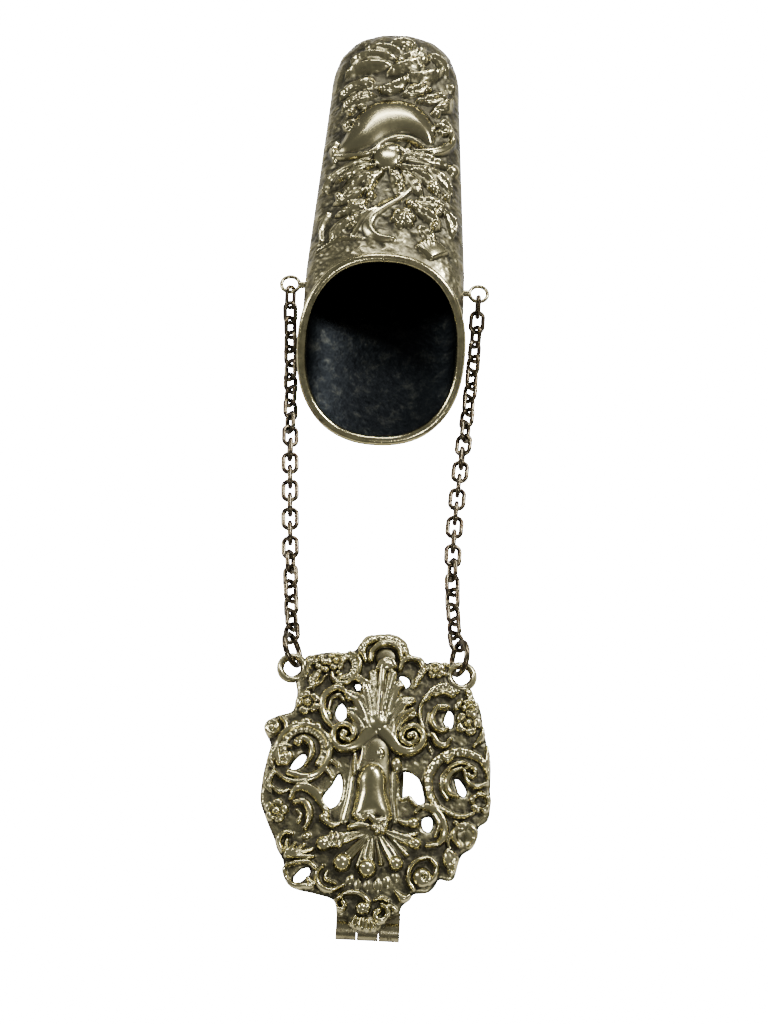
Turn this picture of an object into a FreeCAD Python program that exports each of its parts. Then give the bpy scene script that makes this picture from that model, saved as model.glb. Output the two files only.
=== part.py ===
import FreeCAD, Part
import Sketcher
import math
import os

# Chatelaine spectacle case: a repousse silver case with a slanted mouth hangs by two cable chains
# from a cast, pierced belt clip whose tongue is hinged at the clip's free end.
# Frame: the tongue's back lies on z = 0 with the origin under the clip's middle, +Y runs from the
# clip along the chains to the case's closed end, and +Z is the decorated front.

V = FreeCAD.Vector
X_AXIS, Y_AXIS, Z_AXIS = V(1, 0, 0), V(0, 1, 0), V(0, 0, 1)
doc = FreeCAD.newDocument("ChatelaineSpectacleCase")
sheet = doc.addObject("Spreadsheet::Sheet", "Dims")

# driving dimensions in millimetres and degrees
SIZES = [
    ("plate_half_width", 26.0, "clip plate, half its width"),
    ("plate_drawn_half_width", 26.0, "half width that the plate's lobes and motifs are drawn for"),
    ("plate_half_length", 34.0, "clip plate, half its length"),
    ("plate_back_height", 5.6, "flat back of the plate above the tongue's back"),
    ("plate_thickness", 1.8, "cast ground of the plate"),
    ("eye_inset_left", 5.5, "left chain eye from the plate's left edge"),
    ("eye_inset_right", 7.3, "right chain eye from the plate's right edge"),
    ("eye_inset_along", 7.9, "both chain eyes from the plate's top"),
    ("eye_radius", 2.75, "chain eye, centre line radius"),
    ("eye_wire", 0.85, "chain eye, section radius"),
    ("column_height", 3.0, "central column above the plate's ground"),
    ("barrel_inset", 3.0, "hinge axis from the plate's lower end"),
    ("barrel_radius", 2.45, "hinge tube, outer radius"),
    ("barrel_height", 2.5, "hinge axis above the tongue's back"),
    ("barrel_length", 13.8, "hinge tube, all three knuckles"),
    ("tongue_knuckle_length", 4.6, "middle knuckle"),
    ("knuckle_gap", 0.15, "side play between knuckles"),
    ("pin_radius", 0.8, "hinge pin"),
    ("pin_clearance", 0.04, "radial play of the pin"),
    ("tongue_width", 13.0, "belt tongue"),
    ("tongue_thickness", 0.9, "belt tongue"),
    ("tongue_inset", 10.0, "free end of the tongue from the plate's top"),
    ("tongue_corner", 4.5, "round corners of the tongue's end"),
    ("tongue_setback", 3.0, "tongue's shoulder behind the hinge axis"),
    ("wire_play", 0.1, "gap between wires that hook into each other"),
    ("eye_play", 0.25, "gap between the chain eye and its ring"),
    ("clip_ring_radius", 3.8, "ring in the chain eye, centre line radius"),
    ("clip_ring_wire", 0.7, "ring in the chain eye, wire radius"),
    ("clip_ring_fall", 20.0, "ring's slope down to the chain"),
    ("clip_ring_lean", 25.0, "ring's lean from upright"),
    ("link_rows", 24, "links in each chain"),
    ("link_wire", 0.58, "link wire radius"),
    ("link_half_width", 1.65, "link centre line, half its width"),
    ("link_length", 5.13, "link centre line, length"),
    ("link_corner", 1.42, "link centre line, corner radius"),
    ("link_slack", 0.03, "play left between two hooked links when they are pulled straight"),
    ("chain_height", 2.3, "middle of the chain where it lies"),
    ("chain_start_left", -0.7, "left chain from its eye, where it leaves its ring"),
    ("chain_low_left", -4.1, "left chain from its eye, lower bow"),
    ("chain_high_left", 2.4, "left chain from its ear, upper bow"),
    ("chain_start_right", -1.1, "right chain from its eye, where it leaves its ring"),
    ("chain_low_right", -5.7, "right chain from its eye, lower bow"),
    ("chain_high_right", -0.1, "right chain from its ear, upper bow"),
    ("chain_landing", 12.0, "length in which the chain comes down from the clip"),
    ("chain_lift", 19.0, "length in which the chain rises to the case"),
    ("jump_ring_length", 5.3, "ring in the case's ear, centre line length"),
    ("jump_ring_half_width", 1.68, "ring in the case's ear, centre line half width"),
    ("jump_ring_wire", 0.52, "ring in the case's ear, wire radius"),
    ("jump_ring_corner", 1.3, "ring in the case's ear, corner radius"),
    ("jump_ring_rise", 30.0, "slope of that ring up to the ear"),
    ("ear_radius", 2.35, "case ear, centre line radius"),
    ("ear_wire", 0.5, "case ear, wire radius"),
    ("ear_play", 0.25, "gap between a case ear and its ring"),
    ("ear_height", 9.5, "ears above the table"),
    ("ear_standoff", 3.8, "middle of the ears from the case's flanks"),
    ("ear_foot", 0.9, "solder foot between ear and case, radius"),
    ("ear_foot_length", 4.0, "solder foot before it is cut to the case"),
    ("case_across", -4.1, "case's centre line from the clip's"),
    ("ear_setback", 41.0, "ears behind the lower edge of the mouth"),
    ("case_length", 127.7, "lower edge of the mouth to the closed end"),
    ("case_half_width", 20.7, "case at the mouth"),
    ("case_end_half_width", 18.0, "case where its end begins to round"),
    ("case_half_height", 9.35, "case at the mouth"),
    ("case_end_half_height", 7.7, "case where its end begins to round"),
    ("case_end_length", 22.7, "rounded closed end"),
    ("case_squareness", 2.3, "power of the case's oval section"),
    ("case_lift", 0.8, "case's back above the table at the mouth"),
    ("case_wall", 0.5, "sheet silver"),
    ("mouth_run", 45.4, "mouth's slant, measured along the case"),
    ("rim_radius", 1.05, "mouth wire, half its thickness"),
    ("cartouche_half_width", 13.0, "plain raised cartouche"),
    ("cartouche_half_length", 10.0, "plain raised cartouche"),
    ("cartouche_along", 87.0, "cartouche's middle from the lower edge of the mouth"),
    ("cartouche_rise", 1.1, "cartouche above the front"),
]
for row, (alias, value, meaning) in enumerate(SIZES, start=1):
    sheet.set(f"A{row}", meaning)
    sheet.set(f"B{row}", str(value))
    sheet.setAlias(f"B{row}", alias)
doc.recompute()


def size(alias):
    """A driving dimension as a plain number."""
    return float(sheet.get(alias))


def bind(item, **expressions):
    """Tie properties to the sheet. The words x, y and z stand for the item's place."""
    for name, expression in expressions.items():
        path = f"Placement.Base.{name}" if name in ("x", "y", "z") else name
        item.setExpression(path, expression)
    return item


def primitive(kind, name, axis=Z_AXIS, **expressions):
    """A Part primitive whose own axis is turned to the given direction."""
    item = doc.addObject(f"Part::{kind}", name)
    item.Placement = FreeCAD.Placement(V(), FreeCAD.Rotation(Z_AXIS, axis))
    return bind(item, **expressions)


def joined(name, items):
    result = doc.addObject("Part::MultiFuse", name)
    result.Shapes = items
    result.Refine = True
    return result


def less(name, base, tool):
    result = doc.addObject("Part::Cut", name)
    result.Base = base
    result.Tool = tool
    return result


def shaped(name, shape):
    """A sub-part whose shape is made in code from the sheet's sizes."""
    item = doc.addObject("Part::Feature", name)
    item.Shape = shape
    return item


NODES = []


def node(item, label=None):
    """Name a finished sub-part."""
    item.Label = label or item.Name
    NODES.append(item)
    return item


# ---------------------------------------------------------------- clip plate
# Each entry is a place as shares of the plate's half width and half length, then its radii in
# millimetres at the half width the plate was drawn for.
LOBES = [
    ("field_left", -0.31, 0.12, 16.5),
    ("field_right", 0.35, 0.09, 16.3),
    ("field_low", 0.00, -0.24, 18.0),
    ("field_top_left", -0.35, 0.53, 10.5),
    ("field_top_right", 0.38, 0.53, 11.5),
    ("rosette_lobe", -0.91, 0.35, 2.4),
    ("right_flower_lobe", 0.89, -0.10, 2.9),
    ("left_flower_lobe", -0.84, -0.21, 3.2),
    ("left_leaf_lobe", -0.87, 0.06, 3.0),
    ("upper_flower_lobe", 0.81, 0.43, 3.3),
    ("right_bud_lobe", 0.80, 0.56, 2.4),
    ("petal_lobe", 0.79, -0.32, 3.4),
    ("drop_lobe", 0.68, -0.53, 2.8),
    ("left_curl_lobe", -0.71, -0.41, 3.6),
    ("left_loop_lobe", -0.63, -0.61, 3.6),
    ("low_left_lobe", -0.37, -0.66, 3.6),
    ("low_right_lobe", 0.40, -0.62, 4.2),
    ("hinge_tab", 0.00, -0.81, 5.4),
    ("crest_lobe", 0.04, 0.87, 5.9),
    ("crest_wing", -0.21, 0.87, 3.6),
    ("top_right_lobe", 0.31, 0.78, 4.2),
    ("top_left_lobe", -0.44, 0.79, 3.6),
    ("left_eye_lobe", -0.60, 0.75, 3.4),
    ("right_eye_lobe", 0.52, 0.77, 3.0),
    ("left_flower_seat", -0.63, 0.52, 3.2),
]
PIERCINGS = [
    ("hole_upper_left", -0.33, 0.47, 1.4),
    ("hole_leaf_right", 0.22, 0.71, 1.3),
    ("hole_leaf_left", -0.20, 0.65, 0.7),
    ("hole_upper_right", 0.60, 0.46, 1.4),
    ("hole_left_scroll", -0.67, 0.11, 1.5),
    ("hole_column_left", -0.35, 0.01, 1.8),
    ("hole_column_left_low", -0.35, -0.11, 1.7),
    ("hole_column_right", 0.31, 0.02, 2.3),
    ("hole_column_right_low", 0.29, -0.06, 2.0),
    ("hole_lower_right", 0.46, -0.25, 1.2),
    ("hole_right_scroll", 0.72, 0.00, 1.6),
    ("hole_lower_left", -0.58, -0.62, 1.6),
]
SCROLLS = [
    ("scroll_left", -0.63, 0.19, 5.6, 0.9),
    ("scroll_right", 0.70, 0.03, 5.9, 0.9),
    ("c_scroll_left", -0.35, 0.51, 3.6, 0.8),
    ("c_scroll_right", 0.54, 0.50, 4.6, 0.8),
    ("volute_left", -0.28, 0.32, 1.8, 0.85),
    ("volute_right", 0.28, 0.32, 2.1, 0.85),
    ("crest_arch", 0.04, 0.87, 4.6, 0.9),
    ("shell_scroll", -0.31, 0.76, 3.2, 0.7),
    ("top_scroll", 0.31, 0.79, 2.7, 0.7),
    ("low_scroll_right", 0.42, -0.57, 3.0, 0.7),
    ("low_curl_left", -0.69, -0.41, 2.6, 0.7),
    ("low_scroll_left", -0.34, -0.64, 2.5, 0.6),
]
BALLS = [
    ("fan_ball_far_left", -0.42, -0.41, 1.3),
    ("fan_ball_left", -0.24, -0.54, 1.7),
    ("fan_ball_middle", -0.03, -0.56, 1.7),
    ("fan_ball_right", 0.20, -0.52, 1.5),
    ("fan_ball_far_right", 0.37, -0.38, 1.2),
    ("bud_left", -0.78, 0.14, 1.1),
    ("bud_right", 0.82, 0.10, 1.2),
    ("rosette", -0.92, 0.35, 1.7),
    ("flower_upper_left", -0.63, 0.52, 1.7),
    ("flower_upper_right", 0.81, 0.43, 1.7),
    ("flower_left", -0.82, -0.21, 1.7),
    ("flower_right", 0.89, -0.10, 1.7),
    ("petal", 0.79, -0.32, 1.7),
]


EYE_ACROSS = {"left": "Dims.eye_inset_left - Dims.plate_half_width",
              "right": "Dims.plate_half_width - Dims.eye_inset_right"}
EYE_ALONG = "Dims.plate_half_length - Dims.eye_inset_along"


def on_plate(across, along):
    """Expressions for a place given as shares of the plate's half width and half length."""
    return {"x": f"Dims.plate_half_width * {across}", "y": f"Dims.plate_half_length * {along}"}


def share(radius):
    """Expression for a radius that keeps its share of the plate's half width."""
    return f"{radius} * Dims.plate_half_width / Dims.plate_drawn_half_width"


def clip_plate():
    top = "Dims.plate_back_height + Dims.plate_thickness"
    ground = [
        primitive("Cylinder", name, Radius=share(radius), Height="Dims.plate_thickness",
                  z="Dims.plate_back_height", **on_plate(across, along))
        for name, across, along, radius in LOBES
    ]
    piercing = [
        primitive("Cylinder", name, Radius=share(radius), Height="Dims.plate_thickness * 3",
                  z="Dims.plate_back_height - Dims.plate_thickness", **on_plate(across, along))
        for name, across, along, radius in PIERCINGS
    ]
    eyes = []
    for side, across in EYE_ACROSS.items():
        place = {"x": across, "y": EYE_ALONG}
        middle = "Dims.plate_back_height + Dims.eye_wire"
        eyes.append(primitive("Torus", f"eye_{side}", Radius1="Dims.eye_radius",
                              Radius2="Dims.eye_wire", z=middle, **place))
        piercing.append(primitive("Cylinder", f"eye_hole_{side}", Radius="Dims.eye_radius",
                                  Height="Dims.plate_thickness * 3",
                                  z="Dims.plate_back_height - Dims.plate_thickness", **place))
    relief = [
        primitive("Torus", name, Radius1=share(radius), Radius2=share(wire), z=top,
                  **on_plate(across, along))
        for name, across, along, radius, wire in SCROLLS
    ]
    relief += [
        primitive("Sphere", name, Radius=share(radius), z=top, **on_plate(across, along))
        for name, across, along, radius in BALLS
    ]
    column = primitive("Ellipsoid", "column", Radius1="Dims.column_height",
                       Radius2="Dims.plate_half_width * 0.2",
                       Radius3="Dims.plate_half_length * 0.3", z=top, **on_plate(-0.02, -0.05))
    leaf = primitive("Ellipsoid", "acanthus_leaf", Radius1="Dims.column_height * 0.8",
                     Radius2="Dims.plate_half_width * 0.2",
                     Radius3="Dims.plate_half_length * 0.24", z=top, **on_plate(0.02, 0.56))
    raised = joined("plate_relief", relief + [column, leaf])
    behind = doc.addObject("Part::Box", "behind_plate")
    bind(behind, Length="Dims.plate_half_width * 4", Width="Dims.plate_half_length * 4",
         Height="Dims.plate_back_height", x="-Dims.plate_half_width * 2",
         y="-Dims.plate_half_length * 2")
    front = less("plate_relief_front", raised, behind)
    pierced = less("pierced_ground", joined("ground", ground), joined("piercings", piercing))
    node(joined("clip_plate", [pierced, front] + eyes))


# ---------------------------------------------------------------- hinge and belt tongue
def hinge():
    """Two outer knuckles stand on the plate, the middle one on the tongue, on one riveted pin."""
    along = "(Dims.barrel_inset - Dims.plate_half_length)"
    axis_place = {"y": along, "z": "Dims.barrel_height"}
    outer = "(Dims.barrel_length - Dims.tongue_knuckle_length) / 2 - Dims.knuckle_gap"
    starts = {
        "plate_knuckle_left": ("-Dims.barrel_length / 2", outer),
        "plate_knuckle_right": ("Dims.tongue_knuckle_length / 2 + Dims.knuckle_gap", outer),
        "tongue_knuckle": ("-Dims.tongue_knuckle_length / 2", "Dims.tongue_knuckle_length"),
    }
    for name, (start, length) in starts.items():
        tube = primitive("Cylinder", f"{name}_tube", X_AXIS, Radius="Dims.barrel_radius",
                         Height=length, x=start, **axis_place)
        bore = primitive("Cylinder", f"{name}_bore", X_AXIS,
                         Radius="Dims.pin_radius + Dims.pin_clearance",
                         Height="Dims.barrel_length * 2", x="-Dims.barrel_length", **axis_place)
        foot = doc.addObject("Part::Box", f"{name}_foot")
        if name == "tongue_knuckle":
            bind(foot, Length=length, Width="Dims.tongue_setback",
                 Height="Dims.tongue_thickness", x=start, y=along)
        else:
            bind(foot, Length=length, Width="Dims.barrel_radius * 0.95",
                 Height="Dims.plate_back_height - Dims.barrel_height", x=start,
                 y=f"{along} + Dims.barrel_radius * 0.4", z="Dims.barrel_height")
        node(less(name, joined(f"{name}_body", [tube, foot]), bore))
    node(primitive("Cylinder", "hinge_pin", X_AXIS, Radius="Dims.pin_radius",
                   Height="Dims.barrel_length", x="-Dims.barrel_length / 2", **axis_place))


def origin_plane(body, role):
    return next(plane for plane in body.Origin.OriginFeatures if plane.Role == role)


def constrain(sketch, kind, *arguments):
    return sketch.addConstraint(Sketcher.Constraint(kind, *arguments))


def tongue():
    """Flat strip that goes behind the belt, round at its free end."""
    body = doc.addObject("PartDesign::Body", "tongue_strip")
    outline = body.newObject("Sketcher::SketchObject", "tongue_outline")
    outline.AttachmentSupport = [(origin_plane(body, "XY_Plane"), "")]
    outline.MapMode = "FlatFace"
    corners = [V(-6, -28, 0), V(6, -28, 0), V(6, 24, 0), V(-6, 24, 0)]
    for start, end in zip(corners, corners[1:] + corners[:1]):
        outline.addGeometry(Part.LineSegment(start, end))
    for side in range(4):
        constrain(outline, "Coincident", side, 2, (side + 1) % 4, 1)
    for side, direction in enumerate(("Horizontal", "Vertical", "Horizontal", "Vertical")):
        constrain(outline, direction, side)
    named = {
        "width": ("DistanceX", (0, 1, 0, 2, 12.0), "Dims.tongue_width"),
        "left": ("DistanceX", (0, 1, -1, 1, 6.0), "Dims.tongue_width / 2"),
        "free_end": ("DistanceY", (-1, 1, 2, 1, 24.0),
                     "Dims.plate_half_length - Dims.tongue_inset"),
        "shoulder": ("DistanceY", (0, 1, -1, 1, 28.0),
                     "Dims.plate_half_length - Dims.barrel_inset - Dims.tongue_setback"),
    }
    for name, (kind, arguments, expression) in named.items():
        index = constrain(outline, kind, *arguments)
        outline.renameConstraint(index, name)
        outline.setExpression(f"Constraints.{name}", expression)
    pad = body.newObject("PartDesign::Pad", "tongue_pad")
    pad.Profile = outline
    pad.setExpression("Length", "Dims.tongue_thickness")
    doc.recompute()
    free_end = max(edge.BoundBox.YMax for edge in pad.Shape.Edges)
    upright = [
        f"Edge{number}" for number, edge in enumerate(pad.Shape.Edges, start=1)
        if edge.BoundBox.YMin > free_end - 0.01 and edge.BoundBox.ZLength > 0.1
    ]
    rounding = body.newObject("PartDesign::Fillet", "tongue_corners")
    rounding.Base = (pad, upright)
    rounding.setExpression("Radius", "Dims.tongue_corner")
    node(body)


# ---------------------------------------------------------------- chains
# Places of the chain's hooks: each wire hooks over the next with a small play, and both chains
# keep the same places along Y and Z, so that one row of links folds about one line.
def sides():
    return ("left", "right")


def ring_direction():
    fall = math.radians(size("clip_ring_fall"))
    return V(0, math.cos(fall), -math.sin(fall))


def eye(side):
    """Middle of a chain eye."""
    across = size("plate_half_width") - size(f"eye_inset_{side}")
    return V(-across if side == "left" else across, size("plate_half_length") - size("eye_inset_along"),
             size("plate_back_height") + size("eye_wire"))


def ear_across(side):
    across = size("case_half_width") + size("ear_standoff")
    return size("case_across") + (-across if side == "left" else across)


def clip_ring_hook():
    """Wire centre of the clip ring inside the eye, pulled against the eye's far side."""
    reach = size("eye_wire") + size("clip_ring_wire") + size("eye_play")
    middle = eye("left")
    return V(0, middle.y + size("eye_radius"), middle.z) - ring_direction() * reach


def link_overlap():
    """Distance between the end wires of two hooked links."""
    return 2 * size("link_wire") + size("wire_play")


def first_hook():
    """Middle between the last wire of the clip ring's side and the first link's end."""
    back = size("clip_ring_wire") + size("link_wire") + size("wire_play") - link_overlap() / 2
    return clip_ring_hook() + ring_direction() * (2 * size("clip_ring_radius") - back)


def jump_ring_reach():
    """From the last link hook to the ear's wire along the jump ring."""
    to_link = size("link_wire") + size("jump_ring_wire") + size("wire_play")
    to_ear = size("ear_wire") + size("jump_ring_wire") + size("ear_play")
    return link_overlap() / 2 - to_link + size("jump_ring_length") - to_ear


def jump_ring_direction():
    rise = math.radians(size("jump_ring_rise"))
    return V(0, math.cos(rise), math.sin(rise))


def last_row():
    return int(size("link_rows"))


def chain_height(along, start, end):
    """Down from the clip, flat, and up to the case's ears, each end as a parabola."""
    low = size("chain_height")
    end_height = size("ear_height") - jump_ring_reach() * jump_ring_direction().z
    down = max(0.0, 1 - (along - start) / size("chain_landing"))
    up = max(0.0, 1 - (end - along) / size("chain_lift"))
    return low + (first_hook().z - low) * down**2 + (end_height - low) * up**2


def chain_across(side, along, start, end):
    """Sideways course of one chain: a cubic curve from its ring to its ear."""
    part = (along - start) / (end + jump_ring_reach() * jump_ring_direction().y - start)
    rest = 1 - part
    near, far = eye(side).x, ear_across(side)
    return (rest**3 * (near + size(f"chain_start_{side}"))
            + 3 * rest**2 * part * (near + size(f"chain_low_{side}"))
            + 3 * rest * part**2 * (far + size(f"chain_high_{side}")) + part**3 * far)


def chain_point(side, along, start, end):
    return V(chain_across(side, along, start, end), along, chain_height(along, start, end))


def hook_places():
    """Y of every hook, so spaced that the links of the longer side are pulled straight."""
    pitch = size("link_length") - link_overlap() - size("link_slack")
    start = first_hook().y
    end = start + pitch * last_row()
    for _ in range(8):
        places = [start]
        while len(places) <= last_row():
            along, step = places[-1], pitch
            for _ in range(6):
                reach = max((chain_point(side, along + step, start, end)
                             - chain_point(side, along, start, end)).Length for side in sides())
                step *= pitch / reach
            places.append(along + step)
        end = places[-1]
    return places


HOOKS = []


def hook_along(row):
    if not HOOKS:
        HOOKS.extend(hook_places())
    return HOOKS[row]


def ear_hook_along():
    return hook_along(last_row()) + jump_ring_reach() * jump_ring_direction().y


def case_start():
    """Lower edge of the mouth, along Y."""
    return ear_hook_along() + size("ear_radius") - size("ear_setback")


def hook(side, row):
    """Middle of the place where link number row hooks into the next one."""
    return chain_point(side, hook_along(row), hook_along(0), hook_along(last_row()))


# How far the odd links are turned about the chain from lying flat, at a few rows. Even links
# stand at right angles to them.
TWIST = {
    "left": [(0, -25), (4, -45), (8, 0), (13, 0), (17, 40), (22, 45), (25, 60)],
    "right": [(0, 25), (4, 45), (8, 0), (13, 0), (17, -40), (22, -45), (25, -85)],
}


def twist(side, row):
    """Roll of a link about the chain, in degrees."""
    stations = TWIST[side]
    share = row * 25.0 / (last_row() + 1)
    for (low, low_turn), (high, high_turn) in zip(stations, stations[1:]):
        if share <= high:
            part = max(0.0, (share - low) / (high - low))
            return low_turn + (high_turn - low_turn) * part + 90 * (row % 2 == 0)
    return stations[-1][1] + 90 * (row % 2 == 0)


def loop(half_width, length, corner, wire):
    """Closed wire loop in the XY plane, its length along Y, with straight ends along X."""
    across, along = half_width - corner, length / 2 - corner
    arcs = []
    for x, y, turn in ((across, along, 0), (-across, along, 90), (-across, -along, 180),
                       (across, -along, 270)):
        points = [
            V(x + corner * math.cos(math.radians(turn + step)),
              y + corner * math.sin(math.radians(turn + step)), 0) for step in (0, 45, 90)
        ]
        arcs.append((points[0], Part.Arc(*points).toShape(), points[2]))
    edges = []
    for (start, arc, end), (next_start, _, _) in zip(arcs, arcs[1:] + arcs[:1]):
        edges.append(arc)
        if (next_start - end).Length > 1e-6:
            edges.append(Part.LineSegment(end, next_start).toShape())
    spine = Part.Wire(edges)
    profile = Part.Wire([Part.Circle(arcs[0][0], Y_AXIS, wire).toShape()])
    return spine.makePipeShell([profile], True, False)


def laid(shape, start, end, roll):
    """Put a loop between two points, its length along the line and rolled about it."""
    direction = (end - start).normalize()
    across = direction.cross(Z_AXIS).normalize()
    upright = across.cross(direction)
    turn = math.radians(roll)
    side = across * math.cos(turn) - upright * math.sin(turn)
    face = side.cross(direction)
    middle = (start + end) * 0.5
    placed = shape.copy()
    placed.Placement = FreeCAD.Placement(FreeCAD.Matrix(
        side.x, direction.x, face.x, middle.x, side.y, direction.y, face.y, middle.y,
        side.z, direction.z, face.z, middle.z, 0, 0, 0, 1))
    return placed


def clip_rings():
    radius = size("clip_ring_radius")
    torus = Part.makeTorus(radius, size("clip_ring_wire"))
    back = size("clip_ring_wire") + size("link_wire") + size("wire_play") - link_overlap() / 2
    for side in sides():
        end = hook(side, 0) + ring_direction() * back
        direction = (end - clip_ring_hook() - V(eye(side).x, 0, 0)).normalize()
        lean = 90 - size("clip_ring_lean") if side == "left" else 90 + size("clip_ring_lean")
        node(shaped(f"clip_ring_{side}", laid(torus, end - direction * (2 * radius), end, lean)))


def link_rows():
    link = loop(size("link_half_width"), size("link_length"), size("link_corner"),
                size("link_wire"))
    for row in range(1, last_row() + 1):
        pair = [laid(link, hook(side, row - 1), hook(side, row), twist(side, row))
                for side in sides()]
        node(shaped(f"link_row_{row:02d}", Part.makeCompound(pair)))


def jump_rings():
    ring = loop(size("jump_ring_half_width"), size("jump_ring_length"),
                size("jump_ring_corner"), size("jump_ring_wire"))
    from_link = size("link_wire") + size("jump_ring_wire") + size("wire_play")
    for side in sides():
        last = hook(side, last_row())
        direction = jump_ring_direction()
        start = last + direction * (link_overlap() / 2 - from_link)
        end = start + direction * size("jump_ring_length")
        node(shaped(f"jump_ring_{side}", laid(ring, start, end, twist(side, last_row() + 1))))


# ---------------------------------------------------------------- case
def straight_length():
    """Lower edge of the mouth to where the closed end begins to round."""
    return size("case_length") - size("case_end_length")


def tapered(first, last, along):
    """Size at a place along the case: even past the mouth, then a straight taper."""
    start = size("mouth_run")
    share = max(0.0, (along - start) / (straight_length() - start))
    return size(first) + (size(last) - size(first)) * share


def half_width(along):
    return tapered("case_half_width", "case_end_half_width", along)


def half_height(along):
    return tapered("case_half_height", "case_end_half_height", along)


def middle_height(along):
    """Middle of the case above the table: its back rests on the mouth wire and on its far end."""
    lift = size("case_lift") * (1 - along / straight_length())
    return lift + half_height(along)


def oval(along, grow, shrink=1.0):
    """Oval section of the case, square to Y, as one closed smooth curve."""
    pairs = superoval((half_width(along) + grow) * shrink, (half_height(along) + grow) * shrink)
    middle = V(size("case_across"), case_start() + along, middle_height(along))
    return Part.Wire([closed_curve([middle + V(x, 0, z) for x, z in pairs]).toShape()])


def case_body(inset):
    """Closed solid of the case: even past the mouth, tapering, and rounded at its end."""
    before_mouth = -8.0
    sections = [oval(along, -inset) for along in (before_mouth, size("mouth_run"), straight_length())]
    end_length = size("case_end_length") - inset
    for step in (0.22, 0.4, 0.55, 0.68, 0.78, 0.86, 0.92, 0.96, 0.985):
        shrink = (1 - step**2.5)**0.4
        sections.append(oval(straight_length() + end_length * step, -inset, shrink))
    return Part.makeLoft(sections, True, True)


def mouth_slope():
    """Angle between the case's length and the plane of its mouth."""
    return math.atan2(2 * size("case_half_height"), size("mouth_run"))


def mouth_block():
    """Big block on the mouth's side of the sheet's slanted edge, which ends inside the wire."""
    reach = 2 * size("case_length")
    block = Part.makeBox(reach, reach, reach, V(-reach / 2, -reach / 2, -size("rim_radius") / 2))
    block.rotate(V(), X_AXIS, math.degrees(mouth_slope()))
    block.translate(V(size("case_across"), case_start(), size("case_lift")))
    return block


def superoval(wide, high, steps=32):
    """Points around an oval that is squarer than an ellipse, as pairs about its centre."""
    power = 2 / size("case_squareness")
    pairs = []
    for step in range(steps):
        angle = 2 * math.pi * step / steps
        cosine, sine = math.cos(angle), math.sin(angle)
        pairs.append((math.copysign(abs(cosine)**power, cosine) * wide,
                      math.copysign(abs(sine)**power, sine) * high))
    return pairs


def closed_curve(points):
    curve = Part.BSplineCurve()
    curve.interpolate(Points=points, PeriodicFlag=True)
    return curve


def mouth_rim():
    """Round wire soldered along the middle of the sheet's edge."""
    slope = mouth_slope()
    half_wall = size("case_wall") / 2
    middle = V(size("case_across"), case_start() + size("mouth_run") / 2,
               size("case_lift") + size("case_half_height"))
    up_slope = V(0, math.cos(slope), math.sin(slope))
    pairs = superoval(size("case_half_width") - half_wall,
                      (size("case_half_height") - half_wall) / math.sin(slope))
    spine = closed_curve([middle + X_AXIS * across + up_slope * along for across, along in pairs])
    start = spine.FirstParameter
    section = Part.Circle(spine.value(start), spine.tangent(start)[0], size("rim_radius"))
    path = Part.Wire([spine.toShape()])
    return path.makePipeShell([Part.Wire([section.toShape()])], True, False)


def front_half():
    """Everything on the front's side of the seam, which runs along the middle of both flanks."""
    reach = 2 * size("case_length")
    far = straight_length()
    tilt = math.atan2(middle_height(far) - middle_height(0), far)
    half = Part.makeBox(reach, reach, reach, V(-reach / 2, -reach / 4, 0))
    half.rotate(V(), X_AXIS, math.degrees(tilt))
    half.translate(V(size("case_across"), case_start(), middle_height(0)))
    return half


def cartouche():
    """Plain raised oval in the middle of the front."""
    sunk = 1.5
    along = size("cartouche_along")
    stretch = FreeCAD.Matrix()
    stretch.scale(size("cartouche_half_width"), size("cartouche_half_length"),
                  size("cartouche_rise") + sunk)
    boss = Part.makeSphere(1.0).transformGeometry(stretch)
    front_height = middle_height(along) + half_height(along)
    boss.translate(V(size("case_across"), case_start() + along, front_height - sunk))
    return boss


def case():
    outer, inner = case_body(0), case_body(size("case_wall"))
    rim = mouth_rim()
    sleeve = outer.cut(mouth_block()).cut(inner).cut(rim)
    front = front_half()
    node(shaped("case_front_shell", sleeve.common(front).fuse(cartouche().cut(inner))))
    node(shaped("case_back_shell", sleeve.cut(front)))
    node(shaped("mouth_rim", rim))
    outside = shaped("case_outside", outer)
    along = str(ear_hook_along() + size("ear_radius"))
    across = "(Dims.case_half_width + Dims.ear_standoff)"
    feet = {"left": f"Dims.case_across - {across} + Dims.ear_radius",
            "right": f"Dims.case_across + {across} - Dims.ear_radius - Dims.ear_foot_length"}
    for side, sign in (("left", -1), ("right", 1)):
        ring = primitive("Torus", f"ear_ring_{side}", Radius1="Dims.ear_radius",
                         Radius2="Dims.ear_wire", y=along, z="Dims.ear_height",
                         x=f"Dims.case_across + ({sign}) * {across}")
        foot = primitive("Cylinder", f"ear_foot_{side}", X_AXIS, Radius="Dims.ear_foot",
                         Height="Dims.ear_foot_length", x=feet[side], y=along,
                         z="Dims.ear_height")
        node(less(f"ear_{side}", joined(f"ear_body_{side}", [ring, foot]), outside))


clip_plate()
hinge()
tongue()
clip_rings()
link_rows()
jump_rings()
case()
doc.recompute()

for item in doc.Objects:
    if "Invalid" in item.State or "Error" in item.State:
        raise RuntimeError(f"{item.Name} did not build: {item.State}")
for item in NODES:
    if item.Shape.isNull() or not item.Shape.isValid() or not item.Shape.Solids:
        raise RuntimeError(f"{item.Label} has no valid solid")

os.makedirs("parts", exist_ok=True)
for item in NODES:
    item.Shape.exportStep(f"parts/{item.Label}.step")
    box = item.Shape.optimalBoundingBox(False)
    print(f"{item.Label:20s} {len(item.Shape.Solids)} solids {item.Shape.Volume:9.2f} mm3  "
          f"x {box.XMin:7.2f} {box.XMax:7.2f}  y {box.YMin:7.2f} {box.YMax:7.2f}  "
          f"z {box.ZMin:6.2f} {box.ZMax:6.2f}")
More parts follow.
